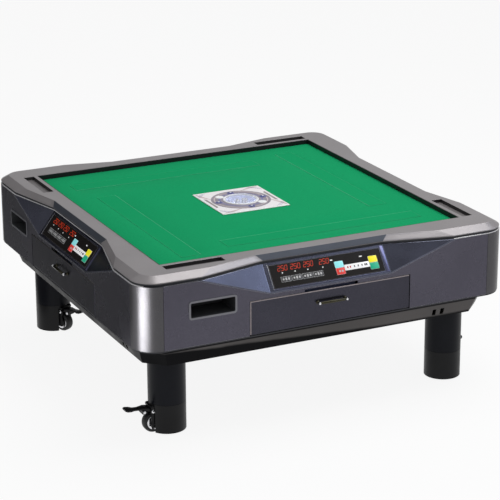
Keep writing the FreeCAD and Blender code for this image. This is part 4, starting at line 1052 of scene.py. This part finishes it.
# %% Dice
finish("die_white", (0.8, 0.79, 0.76), (0.15, 0.22), tone=0.04, depth=0)
DISC_LOW, DIE, DIE_LOW, DIE_SHIFT, DIE_ROUND, PIP_STEP = 392.6, 12.0, 394.9, 10, 1.2, 2.9
DISC = ((0, -7), (3, -7), (3, 0), (36.4, 0), (36.4, 1.6), (35.8, 2.0), (30, 2.0), (29.5, 1.6), (28, 1.6),
        (27.5, 2.0), (0, 2.0))
PIP = ((0, -0.02), (1.15, -0.02), (1.0, 0.05), (0, 0.05))
DIAGONAL, CORNER_PIPS = [(-1, -1), (1, 1)], [(-1, -1), (1, -1), (-1, 1), (1, 1)]
PIPS = {1: [(0, 0)], 2: DIAGONAL, 3: [(0, 0), *DIAGONAL], 4: CORNER_PIPS, 5: [(0, 0), *CORNER_PIPS],
        6: [(-1, 0), (1, 0), *CORNER_PIPS]}
FACES = {3: (0, "X"), 4: (180, "X"), 1: (90, "X"), 6: (-90, "X"), 2: (90, "Y"), 5: (-90, "Y")}
bm = bmesh.new()
add_turned(bm, DISC, move(0, 0, DISC_LOW), 48, [0, 0, 0, 0, 0, 0, 1, 1, 1, 0])
piece("dice_turntable", bm, "dice_spinner", "cup_blue chrome", stands_for="dice_disc")
bm = bmesh.new()
for side in (-1, 1):
    middle = move(side * DIE_SHIFT, 0, DIE_LOW + DIE / 2)
    made = bmesh.ops.create_cube(bm, size=DIE * MM, matrix=middle)
    cube_edges = list({edge for vert in made["verts"] for edge in vert.link_edges})
    round_edges(bm, cube_edges, DIE_ROUND, 3)
    for count, (angle, axis) in FACES.items():
        turn = middle @ spin(angle, axis)
        for x, y in PIPS[count]:
            spot = turn @ move(x * PIP_STEP, y * PIP_STEP, DIE / 2)
            add_turned(bm, PIP, spot, 14, [2 if count == 1 else 1] * 3)
piece("dice_pair", bm, "dice_spinner", "die_white print_dark print_red")

# %% [markdown]
# ## The drawer pulls
#
# Each pull is a slim dark bar between two bright turned posts. The CAD model has plain rods there. A
# turned profile gives the posts their flange and collar, and gives the bar a slight belly.

# %% Pulls
finish("pull_bronze", (0.055, 0.05, 0.03), (0.25, 0.38), tone=0.3, patch=60, Metallic=0.8)
POST = ((0, 0), (4.6, 0), (4.6, 1), (3.4, 1.8), (2.4, 3.2), (2.4, 6), (3.2, 7.2), (3.2, 11.6), (2.6, 12.6),
        (1.6, 13), (0, 13))
BELLY = ((0, -35), (2.4, -35), (2.4, -33), (3.3, -31), (3.5, 0), (3.3, 31), (2.4, 33), (2.4, 35), (0, 35))
POST_SLOTS, BELLY_SLOTS = [1] * 6 + [0] * 4, [1] * 8
POST_X, BAR_OUT = 36, 10
handle_low, handle_high = box_mm("drawer_handle_front")
PULL_HEIGHT = (handle_low[2] + handle_high[2]) / 2
lengthways = spin(90, "Y")
for side, turn in zip(SIDES, TURNS):
    bm = bmesh.new()
    for x in (-POST_X, POST_X):
        add_turned(bm, POST, turn @ move(x, -BODY_HALF, PULL_HEIGHT) @ outward, 24, POST_SLOTS)
    bar_spot = turn @ move(0, -BODY_HALF - BAR_OUT, PULL_HEIGHT) @ lengthways
    add_turned(bm, BELLY, bar_spot, 24, BELLY_SLOTS)
    piece("drawer_pull_" + side, bm, "drawer_" + side, "chrome pull_bronze",
          stands_for="drawer_handle_" + side)

# %% [markdown]
# ## The casters
#
# A caster has a hood that turns under the leg, a rubber wheel with a bright hub ring, and a brake pedal
# that sticks out behind. The hoods stay as CAD solids. The wheel is turned from one profile, and the
# pedal is lofted through sections along its length, with a lug below and ribs for the foot. Bright
# rivets and a cap over the fork finish each one.

# %% Caster shapes
finish("tyre_rubber", (0.016, 0.016, 0.017), (0.5, 0.7), tone=0.3, patch=80, grit=500, depth=0.04)
finish("hub_grey", (0.03, 0.03, 0.033), (0.3, 0.45))
half_wheel = [(3.6, -11), (7, -11), (8, -9.5), (11.4, -9), (12.2, -10.8), (16.6, -11), (17.2, -10.2),
              (20.5, -10.8), (23.6, -9), (24.8, -6), (25, -2)]
half_slots = [1, 1, 1, 2, 2, 2, 0, 0, 0, 0]
WHEEL = half_wheel + [(radius, -z) for radius, z in reversed(half_wheel)] + half_wheel[:1]
WHEEL_SLOTS = half_slots + [0] + half_slots[::-1] + [1]
PEDAL = ((36, 55, 61, 11.5), (42, 53, 63, 12.6), (47, 54, 63.3, 12.6), (53, 56.5, 65, 12.6),
         (60, 58.5, 66, 12.2), (68, 60, 66, 9), (77, 60.5, 65.5, 7.4), (87, 61.2, 66.2, 7.8),
         (94, 61.8, 67.5, 12), (104, 63, 69, 12.6), (109, 65, 68.6, 9.6))
LUG = ((56, 51, 60, 11.6), (57.5, 50, 60.5, 12.2), (65.5, 50, 60.5, 12.2), (67, 51, 60, 11.6))
SHOE_X, SHOE_Z = (53, 58), (50.8, 53.5)
RIBS, RIB_HALF, RIB_FROM, RIB_STEP, RIB_FOOT, RIB_CLIMB = 5, 9, 94.6, 2.3, 67.6, 0.345
RIB_WIDE, RIB_SINKS, RIB_RISES = 1, 1, 0.3
RIVET = ((1, -0.2), (1, 0.63), (0.8, 1.44), (0.45, 1.8), (0, 1.8))
PEDAL_RIVETS, HOOD_RIVETS = (61.7, 12.2, 55.3, 3.9), (42, 18, 56.6, 4.6)
CAP_X, CAP_Y, CAP_Z, CAP_CORNER, CAP_ROUND = (28, 48.4), (-18.9, 18.9), (63.7, 68.7), 1.6, 1.2


def pedal_section(x, low, high, half):
    radius = min(half, (high - low) / 2) / 2
    return [(x, y, z) for y, z in rounded((-half, half), (low, high), radius)]


def rivet_pair(at, x, half, z, radius):
    bm = bmesh.new()
    for side in (-1, 1):
        spot = at @ move(x, half * side, z) @ spin(-90 * side, "X")
        add_turned(bm, [(share * radius, rise) for share, rise in RIVET], spot, 20)
    return bm


print("wheel profile:", len(WHEEL), "points, pedal sections:", len(PEDAL))

# %% Casters
LEGS, AXLE_TRAIL, AXLE_HEIGHT = (-375, 375), 38, 25
HEADINGS = (180, 37, 118, -65)
for corner, heading, (x, y) in zip(CORNERS, HEADINGS, rectangle(LEGS, LEGS)):
    at = move(x, y, 0) @ spin(heading, "Z")
    wheel, pedal, hood = "caster_wheel_" + corner, "caster_pedal_" + corner, "caster_hood_" + corner
    bm = bmesh.new()
    axle = at @ move(AXLE_TRAIL, 0, AXLE_HEIGHT) @ outward
    add_turned(bm, WHEEL, axle, 56, WHEEL_SLOTS)
    piece("caster_tyre_" + corner, bm, wheel, "tyre_rubber hub_grey chrome",
          stands_for=wheel)
    piece("pedal_rivets_" + corner, rivet_pair(at, *PEDAL_RIVETS), pedal, "chrome")
    bm = bmesh.new()
    for stations in (PEDAL, LUG):
        add_loft(bm, [pedal_section(*station) for station in stations], at)
    across = (-RIB_HALF, RIB_HALF)
    add_slab(bm, rectangle(SHOE_X, across), *SHOE_Z, at)
    for step in range(RIBS):
        start = RIB_FROM + RIB_STEP * step
        level = RIB_FOOT + RIB_CLIMB * step
        rib = rectangle((start, start + RIB_WIDE), across)
        add_slab(bm, rib, level - RIB_SINKS, level + RIB_RISES, at)
    piece("brake_pedal_" + corner, bm, pedal, "caster_black", stands_for=pedal)
    piece("caster_rivets_" + corner, rivet_pair(at, *HOOD_RIVETS), hood, "chrome")
    bm = bmesh.new()
    add_slab(bm, rounded(CAP_X, CAP_Y, CAP_CORNER), *CAP_Z, at, 0, CAP_ROUND)
    piece("fork_cap_" + corner, bm, hood, "caster_black")

# %% [markdown]
# ## The power inlet
#
# Under the pan sits an inlet for a mains lead. The CAD model has its shroud. Three flat pins with
# rounded edges stand inside it, cut as slabs because they are the same all along.

# %% Inlet pins
PINS = ((-12, 0), (0, 3), (12, 0))
PIN_HALF_X, PIN_HALF_Y, PIN_ROUND, PIN_FOOT, PIN_SHORT = 1, 3, 0.8, 4, 5
(left, near, foot), (right, far, top) = box_mm("power_inlet")
bm = bmesh.new()
for shift, offset in PINS:
    x = (left + right) / 2 + shift
    y = (near + far) / 2 + offset
    outline = rounded(within((x, x), -PIN_HALF_X), within((y, y), -PIN_HALF_Y), PIN_ROUND, 2)
    add_slab(bm, outline, foot + PIN_FOOT, top - PIN_SHORT)
piece("inlet_pins", bm, "table", "chrome")
